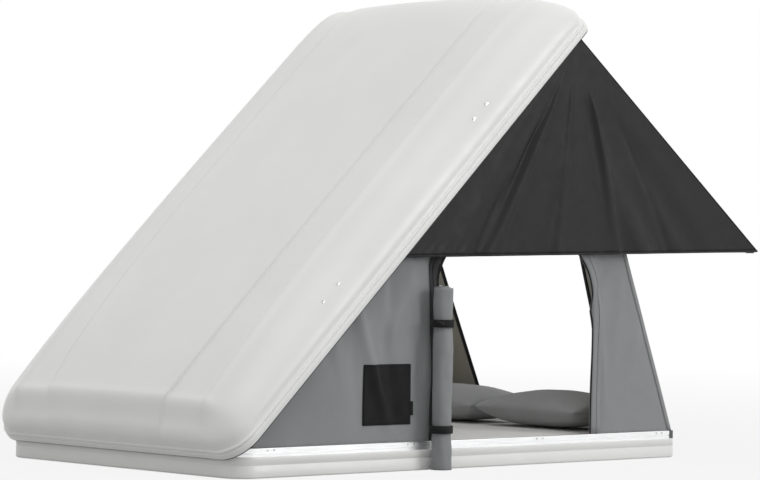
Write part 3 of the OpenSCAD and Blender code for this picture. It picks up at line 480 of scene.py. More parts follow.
def lidHeight(e, y):
    a = np.abs(y)
    sideIn = tent["lidWidth"] / 2 - a
    shoulder = lid["shoulderFront"] + lid["shoulderGain"] * (1 - np.exp(-e / lid["shoulderRun"]))
    flatHalf = tent["lidWidth"] / 2 - lid["sideRound"]
    crown = lid["crown"] * (1 - np.exp(-e / lid["crownRun"])) * (1 - np.minimum(a / flatHalf, 1) ** 2)
    step = lid["panelStep"] * smooth((panelHalf(e) + lid["panelEdge"] - a) / lid["panelEdge"])
    frontIn = e - cornerIn(sideIn, lid["frontRadius"])
    rearIn = tent["lidLength"] - e - cornerIn(sideIn, lid["rearRadius"])
    over = (quarter((lidHalf(e) - a) / lid["sideRound"], lid["sidePower"])
            * quarter(frontIn / lid["frontRound"]) * quarter(rearIn / lid["rearRound"], lid["rearPower"]))
    ridge = lid["ridge"] * hump(a, lid["ridgeAt"], lid["ridgeWide"]) * over * smooth(e / lid["ridgeFade"])
    brow = hump(e, lid["browAt"], lid["browWide"]) - lid["dip"] * hump(e, lid["dipAt"], lid["dipWide"])
    brow = lid["brow"] * brow * smooth((lid["browHalf"] - a) / lid["browFade"]) * smooth(e / lid["browStart"])
    return lid["rimHeight"] + (shoulder + crown + step - lid["rimHeight"]) * over + ridge + brow


def makeLid():
    turn = np.radians(np.linspace(0, 90, 15))
    length = tent["lidLength"]
    stations = np.concatenate([
        lid["frontRadius"] * (1 - np.cos(turn)),
        np.linspace(lid["frontRadius"], lid["noseEnd"], 22)[1:],
        np.linspace(lid["noseEnd"], length - lid["rearRound"], 44)[1:],
        length - np.linspace(lid["rearRound"], lid["rearRadius"], 20)[1:-1],
        length - lid["rearRadius"] * (1 - np.cos(turn[::-1]))])
    steps = np.concatenate([[0, 0.002, 0.006, 0.014, 0.027, 0.045], np.linspace(0.07, 1.0, 26)])
    steps = steps * lid["sideRound"]  # closer together at the rim
    rows = []
    for e in stations:
        w = float(lidHalf(e))
        g = float(panelHalf(e))
        edge = lid["panelEdge"]
        inner = [g + 0.012 + edge] + [g + k * edge for k in (1, 0.75, 0.5, 0.25, 0)] + [g - 0.012]
        inner += list(np.linspace(g - 0.05, 0.02, 8))
        half = [max(v, inner[0] + 0.0004 * (len(steps) - i)) for i, v in enumerate(w - steps)] + inner
        y = np.array([-v for v in half] + [0.0] + half[::-1])
        rows.append(np.stack([np.full_like(y, tent["lidFront"] + e), y, tent["rimZ"] + lidHeight(e, y)], -1))
    outer = np.array(rows)
    n, m = outer.shape[:2]
    mid = tent["lidFront"] + length / 2

    def inset(p, d):
        q = p.copy()
        q[..., 0] = mid + (p[..., 0] - mid) * (1 - 2 * d / length)
        q[..., 1] = p[..., 1] * (1 - 2 * d / tent["lidWidth"])
        return q

    rimEdge = outer.copy()
    aboveRim = outer[..., 2] - tent["rimZ"] - lid["rimHeight"]
    outer = inset(outer, lid["valley"] * (1 - smooth(aboveRim / lid["valleyFade"])))
    innerGrid = inset(rimEdge, lid["rimThick"])
    innerGrid[..., 2] -= lid["skin"]
    edge = gridEdge(n, m)
    c = len(edge)
    profile = [  # rim section from the skin down: how far in, how high
        (0.0052, 0.0350), (0.0030, 0.0338), (0.0016, 0.0322), (0.0012, 0.0300), (0.0012, 0.0272),
        (0.0020, 0.0256), (0.0042, 0.0244), (0.0046, 0.0236), (0.0036, 0.0226), (0.0012, 0.0212),
        (0.0002, 0.0195), (0.0, 0.0175), (0.0, 0.0040), (0.0008, 0.0012), (0.0030, 0.0),
        (lid["rimThick"], 0.0)]
    bands = []
    for d, h in profile:
        ring = inset(rimEdge.reshape(-1, 3)[edge], d)
        ring[:, 2] = tent["rimZ"] + h
        bands.append(ring)
    points = np.concatenate([outer.reshape(-1, 3), innerGrid.reshape(-1, 3)] + bands)
    k = n * m
    loops = [[2 * k + r * c + i for i in range(c)] for r in range(len(profile))]
    loops = [edge] + loops + [[i + k for i in edge]]
    faces = gridFaces(n, m) + [tuple(reversed(f)) for f in gridFaces(n, m, k)]
    for a, b in zip(loops[:-1], loops[1:]):
        faces += [(a[(i + 1) % c], a[i], b[i], b[(i + 1) % c]) for i in range(c)]
    piece = makePiece("lidShell", swungOpen(points), faces, "shell", "lid", hides=["lid_shell"])
    return settle(turnOutward(piece))


makeLid()
print("lid made")

# Base tray with softened edges and pockets for the underside channels
tray = {"frontRadius": 0.085, "rearRadius": 0.030, "wall": 0.026, "floor": 0.008, "soft": 0.007,
        "channelY": 0.400, "channelWidth": 0.040, "channelLength": 1.400, "pocket": 0.06,
        "lip": 0.004, "smallest": 0.004, "groove": ((0, 0.030), (0.0014, 0.028), (0.0014, 0.025), (0, 0.023)),
        "smoothAngle": math.radians(35)}


def plateRing(inset, z, n=14):
    x0, x1, half = -tent["baseX"] + inset, tent["baseX"] - inset, tent["baseY"] - inset
    rf = max(tray["frontRadius"] - inset, tray["smallest"])
    rr = max(tray["rearRadius"] - inset, tray["smallest"])
    ring = []
    for cx, cy, r, start in ((x1 - rr, half - rr, rr, 0), (x0 + rf, half - rf, rf, 90),
                             (x0 + rf, -half + rf, rf, 180), (x1 - rr, -half + rr, rr, 270)):
        for a in np.radians(np.linspace(start, start + 90, n)):
            ring.append((cx + r * math.cos(a), cy + r * math.sin(a), z))
    return ring


def makeTray():
    s, lip, top = tray["soft"], tray["lip"], tent["trayHeight"]
    rings = []
    for a in np.radians([0, 20, 40, 60, 80, 90]):
        rings.append(plateRing(s * (1 - math.sin(a)), s * (1 - math.cos(a))))
    rings += [plateRing(inset, top - down) for inset, down in tray["groove"]]
    for a in np.radians([0, 30, 60, 90]):
        rings.append(plateRing(lip * (1 - math.cos(a)), top - lip * (1 - math.sin(a))))
    rings += [plateRing(tray["wall"], top), plateRing(tray["wall"], tray["floor"])]
    piece = ringsPiece("trayShell", rings, "shell", "base", hides=["base_shell"])
    cutters = []
    for side in (-1, 1):
        bpy.ops.mesh.primitive_cube_add(size=1, location=(0, side * tray["channelY"], 0))
        cutter = bpy.context.object
        cutter.scale = (tray["channelLength"], tray["channelWidth"], tray["pocket"])
        cutters.append(cutter)
        addModifier(piece, "BOOLEAN", object=cutter, operation="DIFFERENCE", solver="EXACT")
    settle(piece)
    for cutter in cutters:
        bpy.data.objects.remove(cutter)
    smoothByAngle(piece, tray["smoothAngle"])
    return piece


makeTray()
print("tray made")

# Side walls: a stretched sheet with a door cut in it
wall = {"thick": 0.0016, "fold": 0.005, "doorFront": -0.143, "doorRear": 0.587, "doorTop": 0.786,
        "frontRadius": 0.150, "rearRadius": 0.230, "grid": 0.013, "creases": 60, "creaseDeep": 0.016,
        "creaseUp": (0.2, 0.9), "creaseWide": (0.014, 0.034), "creaseTall": (0.10, 0.34), "creaseLean": 0.45,
        "slackWaves": 5, "rearFade": 0.10}
topFront = swungOpen([tent["trackFrontX"], 0, tent["trackZ"]])
topRear = swungOpen([tent["trackRearX"], 0, tent["trackZ"]])


def wallTop(x):
    return mix(topFront[2], topRear[2], (x - topFront[0]) / (topRear[0] - topFront[0]))


def wallCreases(x, z):
    total = np.zeros(np.broadcast(x, z).shape)
    for k in range(wall["creases"]):
        at = mix(tent["wallFrontX"] + 0.1, tent["wallRearX"], scatter(k, 1))
        low = mix(*wall["creaseUp"], scatter(k, 2))
        lean = mix(-wall["creaseLean"], wall["creaseLean"], scatter(k, 3))
        wide = mix(*wall["creaseWide"], scatter(k, 4))
        tall = mix(*wall["creaseTall"], scatter(k, 5))
        off = (x - at - lean * (z - low)) / wide
        total = total + np.exp(-off ** 2 - ((z - low) / tall) ** 2) * mix(-1, 1, scatter(k, 6))
    return total


def wallIn(x, z):  # how far the cloth falls inside the straight wall plane
    v = np.clip((z - tent["wallFoot"]) / np.maximum(wallTop(x) - tent["wallFoot"], 0.02), 0, 1)
    a = (x - tent["wallFrontX"]) / (tent["wallRearX"] - tent["wallFrontX"])
    slack = 0.5 - 0.5 * np.cos(2 * math.pi * wall["slackWaves"] * a)
    pull = 0.5 + 0.5 * np.sin(34 * x - 9 * z)
    edge = np.minimum(np.sin(math.pi * v) * 2, 1)
    rearX = mix(tent["wallRearX"], topRear[0], (z - tent["wallFoot"]) / (topRear[2] - tent["wallFoot"]))
    edge = edge * smooth((rearX - x) / wall["rearFade"])
    fold = np.sin(math.pi * v) * wall["fold"] * (0.75 * slack + 0.25 * pull)
    return fold + edge * wall["creaseDeep"] * wallCreases(x, z)


def doorPath(grow=0.0, n=14):
    x0, x1, z1 = wall["doorFront"] - grow, wall["doorRear"] + grow, wall["doorTop"] + grow
    rf, rr = wall["frontRadius"] + grow, wall["rearRadius"] + grow
    turn = np.radians(np.linspace(0, 90, n))[1:]
    path = [(x0, z) for z in np.linspace(tent["wallFoot"], z1 - rf, 16)]
    path += [(x0 + rf - rf * math.cos(a), z1 - rf + rf * math.sin(a)) for a in turn]
    path += [(x, z1) for x in np.linspace(x0 + rf, x1 - rr, 12)[1:]]
    path += [(x1 - rr + rr * math.sin(a), z1 - rr + rr * math.cos(a)) for a in turn]
    path += [(x1, z) for z in np.linspace(z1 - rr, tent["wallFoot"], 16)[1:]]
    return path


def fillCut(outline, spacing, keep):  # even triangles inside a cut pattern
    pts = [Vector(p) for p in outline]
    edges = [(i, (i + 1) % len(pts)) for i in range(len(pts))]
    low = np.min(outline, 0)
    high = np.max(outline, 0)
    rim = np.array(outline)
    for i, u in enumerate(np.arange(low[0] + spacing / 2, high[0], spacing)):
        for v in np.arange(low[1] + spacing * (0.5 + 0.5 * (i % 2)), high[1], spacing):
            if keep(u, v) and np.min(np.hypot(rim[:, 0] - u, rim[:, 1] - v)) > spacing * 0.45:
                pts.append(Vector((u, v)))
    points, _, faces, *_ = geometry.delaunay_2d_cdt(pts, edges, [], 1, 1e-6)
    flat = np.array([tuple(p) for p in points])
    inside = [f for f in faces if keep(*flat[list(f)].mean(0))]
    return flat, inside


def insidePath(path):
    poly = np.array(path)

    def test(u, v):
        x, y = poly[:, 0], poly[:, 1]
        x2, y2 = np.roll(x, -1), np.roll(y, -1)
        cross = (y > v) != (y2 > v)
        at = x + (v - y) / np.where(y2 == y, 1e-12, y2 - y) * (x2 - x)
        return bool(np.count_nonzero(cross & (u < at)) % 2)
    return test


def between(a, b, n):  # n points on a straight line
    return [(mix(a[0], b[0], t), mix(a[1], b[1], t)) for t in np.linspace(0, 1, n)]


def wallOutline():
    foot = tent["wallFoot"]
    frontFoot, rearFootEnd = (tent["wallFrontX"], foot), (tent["wallRearX"], foot)
    frontTop, rearTopEnd = (topFront[0], topFront[2]), (topRear[0], topRear[2])
    rim = between(frontFoot, frontTop, 5) + between(frontTop, rearTopEnd, 60)[1:]
    rim += between(rearTopEnd, rearFootEnd, 48)[1:]
    rim += [(x, foot) for x in np.linspace(tent["wallRearX"], wall["doorRear"], 16)][1:]
    rim += doorPath()[::-1][1:]
    return rim + [(x, foot) for x in np.linspace(wall["doorFront"], tent["wallFrontX"], 30)][1:-1]


def onWall(side, x, z, out=0.0):
    x, z = np.asarray(x, float), np.asarray(z, float)
    return np.stack([x, side * (tent["wallY"] - wallIn(x, z) + out), z], -1)


def clothPanel(name, outline, place, facing, thick, hides):  # a cut sheet with a lighter coat inside
    flat, faces = fillCut(outline, wall["grid"], insidePath(outline))
    piece = makePiece(name, place(flat[:, 0], flat[:, 1]), faces, "tent_fabric", "base", hides)
    turnFacing(piece, Vector(facing))
    piece.data.materials.append(looks["inside"])
    addModifier(piece, "SOLIDIFY", thickness=thick, offset=-1, material_offset=1)
    return settle(piece)


def makeWall(side, label):
    def place(x, z):
        return onWall(side, x, z)
    hides = ["wall_" + label.lower()]
    return clothPanel("wall" + label, wallOutline(), place, (0, side, 0), wall["thick"], hides)


def patternArea(outline):
    p = np.array(outline)
    x, z = p[:, 0], p[:, 1]
    return abs(np.sum(x * np.roll(z, -1) - np.roll(x, -1) * z)) / 2


wallArea = patternArea(wallOutline())
wallPieces = {side: makeWall(side, label) for side, label in sides}
print("side walls made")


# Bands sewn on the walls: zip tape round the door, jamb flap, edge bindings
def bandRows(path, width, shares, foot, place):  # a band's rows, from edge to edge
    p = np.array(path)
    d = np.gradient(p, axis=0)
    d /= np.linalg.norm(d, axis=1)[:, None]
    across = np.stack([-d[:, 1], d[:, 0]], -1)
    rows = []
    for k in shares:
        q = p + across * (k * width)
        q[:, 1] = np.maximum(q[:, 1], foot)
        rows.append(place(q[:, 0], q[:, 1], k))
    return rows


def sewOn(name, rows, look, facing, thick, offset=-1, hides=()):
    piece = makePiece(name, np.concatenate(rows), gridFaces(len(rows), len(rows[0])), look, "base", hides)
    turnFacing(piece, Vector(facing))
    addModifier(piece, "SOLIDIFY", thickness=thick, offset=offset)
    return settle(piece)


bands = {"thick": 0.0016, "crown": 0.0008, "zipWidth": 0.034, "zipGrow": 0.030, "zipOut": 0.0022,
         "bindWidth": 0.012, "bindGrow": 0.006, "jambWidth": 0.046, "jambGrow": 0.028, "jambOut": 0.0042,
         "jambFrom": 0.55, "seamWidth": 0.014, "seamIn": 0.012, "seamOut": 0.0018, "teethOut": 0.0034,
         "stitchGrow": (0.0490, 0.0115), "stitchOut": 0.0026, "seamStitchIn": 0.010, "seamStitchOut": 0.0012}


def wallBand(name, side, path, width, out, look):
    def place(x, z, k):
        return onWall(side, x, z, out + bands["crown"] * (1 - (2 * k) ** 2))
    rows = bandRows(path, width, (-0.5, -0.25, 0, 0.25, 0.5), tent["wallFoot"], place)
    sewOn(name, rows, look, (0, side, 0), bands["thick"])


def sewBands(side, label):
    zipPath = doorPath(bands["zipGrow"])
    wallBand("zipBand" + label, side, zipPath, bands["zipWidth"], bands["zipOut"], "zip")
    binding = doorPath(bands["bindGrow"])
    wallBand("doorBinding" + label, side, binding, bands["bindWidth"], bands["zipOut"], "strap")
    jambFrom = mix(wall["doorFront"], wall["doorRear"], bands["jambFrom"])
    jamb = [q for q in doorPath(bands["jambGrow"]) if q[0] > jambFrom]
    wallBand("jambFlap" + label, side, jamb, bands["jambWidth"], bands["jambOut"], "tent_fabric")
    rearSeam = []
    for t in np.linspace(0, 0.99, 60):
        x = mix(tent["wallRearX"], topRear[0], t) - bands["seamIn"]
        rearSeam.append((x, mix(tent["wallFoot"], topRear[2], t)))
    wallBand("rearSeam" + label, side, rearSeam, bands["seamWidth"], bands["seamOut"], "tent_fabric")
    teeth = [onWall(side, *np.array(zipPath).T, out=bands["teethOut"])]
    settle(barsAlong("zipTeeth" + label, teeth, "strap", "base", 0.0045, 0.0022, 0.0055, 0.0014))
    rows = [onWall(side, *np.array(doorPath(g)).T, out=bands["stitchOut"]) for g in bands["stitchGrow"]]
    seamRow = np.array(rearSeam) - (bands["seamStitchIn"], 0)
    rows.append(onWall(side, *seamRow.T, out=bands["seamStitchOut"]))
    settle(barsAlong("wallStitch" + label, rows, "tent_fabric", "base", 0.0075, 0.005, 0.0012, 0.0008))


for side, label in sides:
    sewBands(side, label)
print("bands sewn")

# Rear wall with its arched door rolled up
rear = {"half": 0.5965, "doorHalf": 0.330, "doorGain": 0.060, "doorHeight": 1.150, "doorRadius": 0.200,
        "thick": 0.0016, "topGap": 0.004, "fold": 0.003, "bindGrow": 0.004, "bindWidth": 0.016,
        "bindIn": 0.0008, "bindThick": 0.004, "rollRadius": 0.038, "rollUp": 0.012, "rollIn": 0.0383,
        "rollTies": (0.12, 0.54)}
rearFoot = np.array([tent["wallRearX"], 0, tent["wallFoot"]])
rearLength = float(np.hypot(topRear[0] - rearFoot[0], topRear[2] - rearFoot[2])) - rear["topGap"]
rearUp = (topRear - rearFoot) / np.linalg.norm(topRear - rearFoot)
rearOut = np.array([rearUp[2], 0, -rearUp[0]])


def onRear(u, v, out=0.0):
    u, v = np.asarray(u, float), np.asarray(v, float)
    fold = rear["fold"] * np.sin(math.pi * np.clip(v / rearLength, 0, 1))
    fold = fold * (0.5 + 0.5 * np.sin(26 * u + 5 * v))
    lift = (out + fold)[..., None] if np.ndim(out + fold) else out + fold
    return rearFoot + v[..., None] * rearUp + u[..., None] * np.array([0, 1, 0]) + lift * rearOut


def rearDoorPath(grow=0.0):
    h, top, r = rear["doorHalf"] + grow, rear["doorHeight"] + grow, rear["doorRadius"]
    wide = h + rear["doorGain"]
    right = [(mix(h, wide, t), mix(0, top - r, t)) for t in np.linspace(0, 1, 30)]
    turn = np.radians(np.linspace(0, 90, 12))[1:]
    right += [(wide - r + r * math.cos(a), top - r + r * math.sin(a)) for a in turn]
    left = [(-u, v) for u, v in reversed(right)]
    return right + left


def rearOutline():
    h, top = rear["half"], rearLength
    sides = [(-h, v) for v in np.linspace(0, top, 50)] + [(u, top) for u in np.linspace(-h, h, 40)][1:]
    sides += [(h, v) for v in np.linspace(top, 0, 50)][1:]
    foot = [(u, 0) for u in np.linspace(h, rear["doorHalf"], 9)][1:]
    foot2 = [(u, 0) for u in np.linspace(-rear["doorHalf"], -h, 9)][1:-1]
    return sides + foot + rearDoorPath()[1:] + foot2


rearArea = patternArea(rearOutline())
rearPiece = clothPanel("wallRear", rearOutline(), onRear, rearOut, rear["thick"], ["wall_rear"])


def bindRearDoor():
    def place(u, v, k):
        return onRear(u, v, -rear["bindIn"])
    rows = bandRows(rearDoorPath(rear["bindGrow"]), rear["bindWidth"], (-0.5, 0, 0.5), 0, place)
    sewOn("rearDoorBinding", rows, "strap", rearOut, rear["bindThick"], 0)


bindRearDoor()
print("rear wall made")


# Rolled doors: a cloth wound in a loose spiral and tied with two straps
roll = {"radius": 0.039, "x": -0.184, "y": 0.660, "low": 0.003, "high": 0.606, "turns": 3,
        "core": 0.30, "pinch": 0.10, "pinchWide": 0.030, "cloth": 0.0018, "wobble": 0.0042, "drag": 0.0022,
        "straps": (0.137, 0.489), "strapWidth": 0.026, "strapThick": 0.0020, "strapFit": 0.955,
        "toggle": 0.0050, "toggleLength": 0.024, "toggleOut": 0.006}


def rolledCloth(name, centre, along, start, radius, length, ties, seed, hides):
    along = Vector(along).normalized()
    start = Vector(start).normalized()
    over = along.cross(start)
    turns = roll["turns"]
    n, m = 90, 26 * turns
    points = []
    for i in range(n):
        s = i / (n - 1)
        z = s * length
        pinch = 1.0
        for tie in ties:
            pinch -= roll["pinch"] * math.exp(-((z - tie) / roll["pinchWide"]) ** 2)
        for j in range(m):
            t = j / (m - 1)
            a = t * turns * 2 * math.pi
            r = radius * pinch * mix(roll["core"], 1.0, t) - 0.0012
            wob = noise.noise(Vector((math.cos(a) * 1.6 + seed, math.sin(a) * 1.6, z * 9))) * roll["wobble"]
            drag = noise.noise(Vector((a * 0.9 + seed, z * 26, 3.1))) * roll["drag"]
            r = max(r + (wob + drag) * t - 0.002 * t, 0.004)
            slip = 0.010 * (1 - t) * math.sin(seed) + 0.006 * noise.noise(Vector((a * 0.5, seed, 0)))
            end = z + slip * (1 if s > 0.98 else 0)
            points.append(Vector(centre) + along * end + start * (r * math.cos(a)) + over * (r * math.sin(a)))
    piece = makePiece(name, points, gridFaces(n, m), "tent_fabric", "base", hides)
    addModifier(piece, "SOLIDIFY", thickness=roll["cloth"], offset=0)
    return settle(piece)


for side, label in sides:
    foot = (roll["x"], side * roll["y"], roll["low"])
    ties = [z - roll["low"] for z in roll["straps"]]
    rolledCloth("doorRoll" + label, foot, (0, 0, 1), (0.8, -side * 0.6, 0), roll["radius"],
                roll["high"] - roll["low"], ties, 2.0 + side, ["door_roll_" + label.lower()])
print("door rolls made")


# Straps round the rolls, and a toggle on each upper strap
def strapRings(centre, z):
    radius, width, thick = roll["radius"] * roll["strapFit"], roll["strapWidth"], roll["strapThick"]
    section = ((0, -1), (thick, -0.96), (thick * 1.15, 0), (thick, 0.96), (0, 1))
    rings = []
    for a in np.linspace(0, 2 * math.pi, 40, endpoint=False):
        rr = radius + 0.0007 * math.sin(5 * a + z * 40)
        c, s = math.cos(a), math.sin(a)
        rings.append([(centre[0] + (rr + o) * c, centre[1] + (rr + o) * s, z + h * width / 2)
                      for o, h in section])
    return rings


def makeStraps():
    points, faces = [], []
    for side, label in sides:
        for z in roll["straps"]:
            rings = strapRings((roll["x"], side * roll["y"]), z)
            first, n, m = len(points), len(rings), len(rings[0])
            points += [p for r in rings for p in r]
            for i in range(n):
                a, b = first + i * m, first + (i + 1) % n * m
                faces += [(a + j, b + j, b + (j + 1) % m, a + (j + 1) % m) for j in range(m)]
    settle(turnOutward(makePiece("rollStraps", points, faces, "strap", "base", hides=["roll_straps"])))


def makeToggles():
    half = roll["toggleLength"] / 2
    for side, label in sides:
        x = roll["x"] - roll["radius"] * 0.80 - 0.004
        y = side * (roll["y"] + roll["radius"] * 0.62) + side * roll["toggleOut"]
        z = roll["straps"][1] + 0.002
        bar = [(x + t, y, z - 0.3 * t) for t in np.linspace(-half, half, 6)]
        settle(tube("rollToggle" + label, bar, roll["toggle"], "strap", "base", 10))


makeStraps()
makeToggles()
print("straps made")

# Patch sewn on the left wall, with a small tab
patch = {"x": -0.487, "z": 0.154, "width": 0.213, "height": 0.200, "thick": 0.0015, "out": 0.0022,
         "stitchIn": 0.006, "stitchOut": 0.0026, "tabWidth": 0.012, "tabUp": 0.030, "tabHeight": 0.046,
         "tabUnder": 0.002, "tabOut": 0.0034}


def sewPatch(name, xs, zs, out, hides=()):
    rows = [onWall(-1, np.full_like(zs, x), zs, out) for x in xs]
    sewOn(name, rows, "patch", (0, -1, 0), patch["thick"], hides=hides)


def makePatch():
    x0, x1 = patch["x"], patch["x"] + patch["width"]
    z0, z1 = patch["z"], patch["z"] + patch["height"]
    sewPatch("labelPatch", np.linspace(x0, x1, 24), np.linspace(z0, z1, 22), patch["out"], ["label_patch"])
    d = patch["stitchIn"]
    box = [(x0 + d, z0 + d), (x1 - d, z0 + d), (x1 - d, z1 - d), (x0 + d, z1 - d), (x0 + d, z0 + d)]
    loop = [q for a, b in zip(box[:-1], box[1:]) for q in between(a, b, 20)[:-1]]
    row = onWall(-1, *np.array(loop).T, out=patch["stitchOut"])
    settle(barsAlong("patchStitch", [row], "strap", "base", 0.006, 0.004, 0.0011, 0.0007))
    tabX = np.linspace(x1 - patch["tabUnder"], x1 + patch["tabWidth"], 4)
    tabZ = np.linspace(z0 + patch["tabUp"], z0 + patch["tabUp"] + patch["tabHeight"], 8)
    sewPatch("patchTab", tabX, tabZ, patch["tabOut"])


makePatch()
print("patch made")

# Awning canopy: a roof and two sides, fanned from the lid corners over the bow and seamed along its arms
canopy = {"run": 1.120, "fan": 0.060, "cornerRun": 2.045, "rearRun": 2.1027, "topY": 0.6387, "sideY": 0.6360,
          "skinGap": 0.0095, "fold": 0.014, "sag": 0.026, "wave": 0.004, "thick": 0.0018, "folds": 22,
          "crease": 0.011, "pucker": 0.0022, "rimGap": 0.0016, "hem": 0.0040, "seam": 0.0025, "rows": 60,
          "sideColumns": 130, "roofColumns": 40, "roofCut": (1.275, 1.240), "roofArea": 1.57,
          "sideCut": (1.775, 0.765), "sideArea": 0.69, "foldWide": (0.012, 0.040), "foldBegin": (0.0, 0.7),
          "foldLean": 0.10, "mainFolds": 3}
bowTip = swungOpen([tent["bowX"] + tent["bowLength"] * math.cos(tent["bowAngle"]), 0,
                    tent["bowZ"] - tent["bowLength"] * math.sin(tent["bowAngle"])])
bowLean = tent["openAngle"] - tent["bowAngle"]
tipX = bowTip[0] + canopy["skinGap"] * (math.cos(bowLean) - math.sin(bowLean))
tipZ = bowTip[2] + canopy["skinGap"] * (math.cos(bowLean) + math.sin(bowLean))
roofUp = np.array([-math.sin(bowLean), 0, math.cos(bowLean)])


def onLidEdge(run, y):
    return swungOpen([tent["hingeX"] + run, y, tent["rimZ"] - canopy["rimGap"]])


def sidePoint(a, v):
    top = onLidEdge(canopy["cornerRun"] - canopy["fan"] * (1 - a), canopy["topY"])
    start = onLidEdge(canopy["cornerRun"] - canopy["run"], canopy["topY"])
    hem = np.array([mix(start[0], tipX, a), mix(canopy["topY"], canopy["sideY"], a), mix(start[2], tipZ, a)])
    p = mix(top, hem, v)
    body = v * math.sin(math.pi * a)
    main = 0.5 - 0.5 * math.cos(2 * math.pi * canopy["mainFolds"] * a)
    folds = 0.0
    for k in range(canopy["folds"]):
        at = scatter(k, 11)
        wide = mix(*canopy["foldWide"], scatter(k, 12))
        begin = mix(*canopy["foldBegin"], scatter(k, 13))
        lean = mix(-canopy["foldLean"], canopy["foldLean"], scatter(k, 15))
        bent = a - at - lean * (1 - v)
        deep = mix(-1, 1, scatter(k, 14)) * float(smooth((v - begin) / 0.25))
        folds += deep * math.exp(-(bent / wide) ** 2)
    pucker = math.sin(2 * math.pi * 31 * a + 5 * math.sin(9 * a)) * float(smooth((v - 0.90) / 0.08)) * (1 - a)
    small = canopy["crease"] * folds + canopy["pucker"] * pucker
    p[1] += canopy["fold"] * body * 0.72 * main + min(body * 4, 1) * small
    return p


def roofPoint(b, v):
    y = 1 - 2 * b
    run = canopy["cornerRun"] + (canopy["rearRun"] - canopy["cornerRun"]) * math.sin(math.pi * b) ** 0.6
    top = onLidEdge(run, canopy["topY"] * y)
    low = np.array([tipX, canopy["sideY"] * y, tipZ])
    sag = -canopy["sag"] * math.sin(math.pi * v) * math.sin(math.pi * b)
    wave = canopy["wave"] * math.sin(math.pi * v) * math.sin(math.pi * b) * math.sin(9 * b + 2 * v)
    return mix(top, low, v) + (sag + wave) * roofUp


def canopyLine(v):  # left side, roof, right side
    n, m = canopy["sideColumns"], canopy["roofColumns"]
    right = [sidePoint(i / n, v) for i in range(n)]
    left = [p * (1, -1, 1) for p in right]
    return left + [roofPoint(i / m, v) * (1, -1, 1) for i in range(m + 1)] + right[::-1]


def canopyPart(name, columns, hides=()):
    points = [r[j] for r in canopyRows for j in columns]
    faces = gridFaces(len(canopyRows), len(columns))
    piece = makePiece(name, points, faces, "canopy_fabric", "lid", hides)
    addModifier(piece, "SOLIDIFY", thickness=canopy["thick"], offset=0)
    return settle(piece)


def canopyEdge(name, path, radius):
    return settle(tube(name, path, radius, "canopy_fabric", "lid", 8))


canopyRows = [canopyLine(v) for v in np.linspace(0, 1, canopy["rows"])]
hemLine = canopyRows[-1]
lastColumn = len(hemLine) - 1
roofFrom, roofTo = canopy["sideColumns"], lastColumn - canopy["sideColumns"]
roofPiece = canopyPart("roofCanopy", range(roofFrom, roofTo + 1), ["awning_canopy"])
canopySides = [canopyPart("canopyLeft", range(0, roofFrom + 1)),
               canopyPart("canopyRight", range(roofTo, lastColumn + 1))]
sideHems = [canopyEdge("canopyHemLeft", hemLine[:roofFrom + 1], canopy["hem"]),
            canopyEdge("canopyHemRight", hemLine[roofTo:], canopy["hem"])]
roofEdges = [canopyEdge("roofHem", hemLine[roofFrom:roofTo + 1], canopy["hem"]),
             canopyEdge("roofSeamLeft", [r[roofFrom] for r in canopyRows], canopy["seam"]),
             canopyEdge("roofSeamRight", [r[roofTo] for r in canopyRows], canopy["seam"])]
print("canopy made")

# Mattress and pillows
bed = {"z": 0.036, "thick": 0.060, "halfX": 0.992, "halfY": 0.556, "edge": 0.022, "crown": 0.006, "grid": 36}
pillow = {"x": 0.785, "y": 0.262, "length": 0.510, "width": 0.370, "height": 0.138, "waist": 0.07,
          "seam": 0.002, "shrink": 0.985, "grid": 28, "wobble": 0.0045, "gather": 0.003, "gatherAbove": 0.075}


def makeMattress():
    halfX, halfY, edge, crown = bed["halfX"], bed["halfY"], bed["edge"], bed["crown"]
    u = -np.cos(np.linspace(0, math.pi, bed["grid"]))
    u = np.sign(u) * np.abs(u) ** 0.6
    gx, gy = np.meshgrid(u, u, indexing="ij")
    x, y = gx * halfX, gy * halfY
    fall = edge * (1 - quarter(np.minimum(halfX - np.abs(x), halfY - np.abs(y)) / edge))
    puff = crown * (1 - gx ** 8) * (1 - gy ** 8)
    top = np.stack([x, y, bed["z"] + bed["thick"] - crown + puff - fall], -1)
    low = np.stack([x, y, bed["z"] + np.minimum(fall, edge * 0.5)], -1)
    points, faces = closedPad(top, low)
    return settle(turnOutward(makePiece("mattressPad", points, faces, "bedding", "base", hides=["mattress"])))


mattressPiece = makeMattress()


def pillowShape():
    halfX, halfY, h = pillow["width"] / 2, pillow["length"] / 2, pillow["height"] / 2
    u = -np.cos(np.linspace(0, math.pi, pillow["grid"]))
    gu, gv = np.meshgrid(u, u, indexing="ij")
    x = gu * halfX * (1 - pillow["waist"] * (1 - gv ** 2)) * pillow["shrink"]
    y = gv * halfY * (1 - pillow["waist"] * (1 - gu ** 2)) * pillow["shrink"]

    def swell(power):
        up = np.sqrt(np.maximum((1 - np.abs(gu) ** power) * (1 - np.abs(gv) ** power), 0))
        return (h - pillow["seam"]) * up * 0.97 + pillow["seam"] / 2
    return closedPad(np.stack([x, y, h + swell(2.2)], -1), np.stack([x, y, h - swell(3.4)], -1))


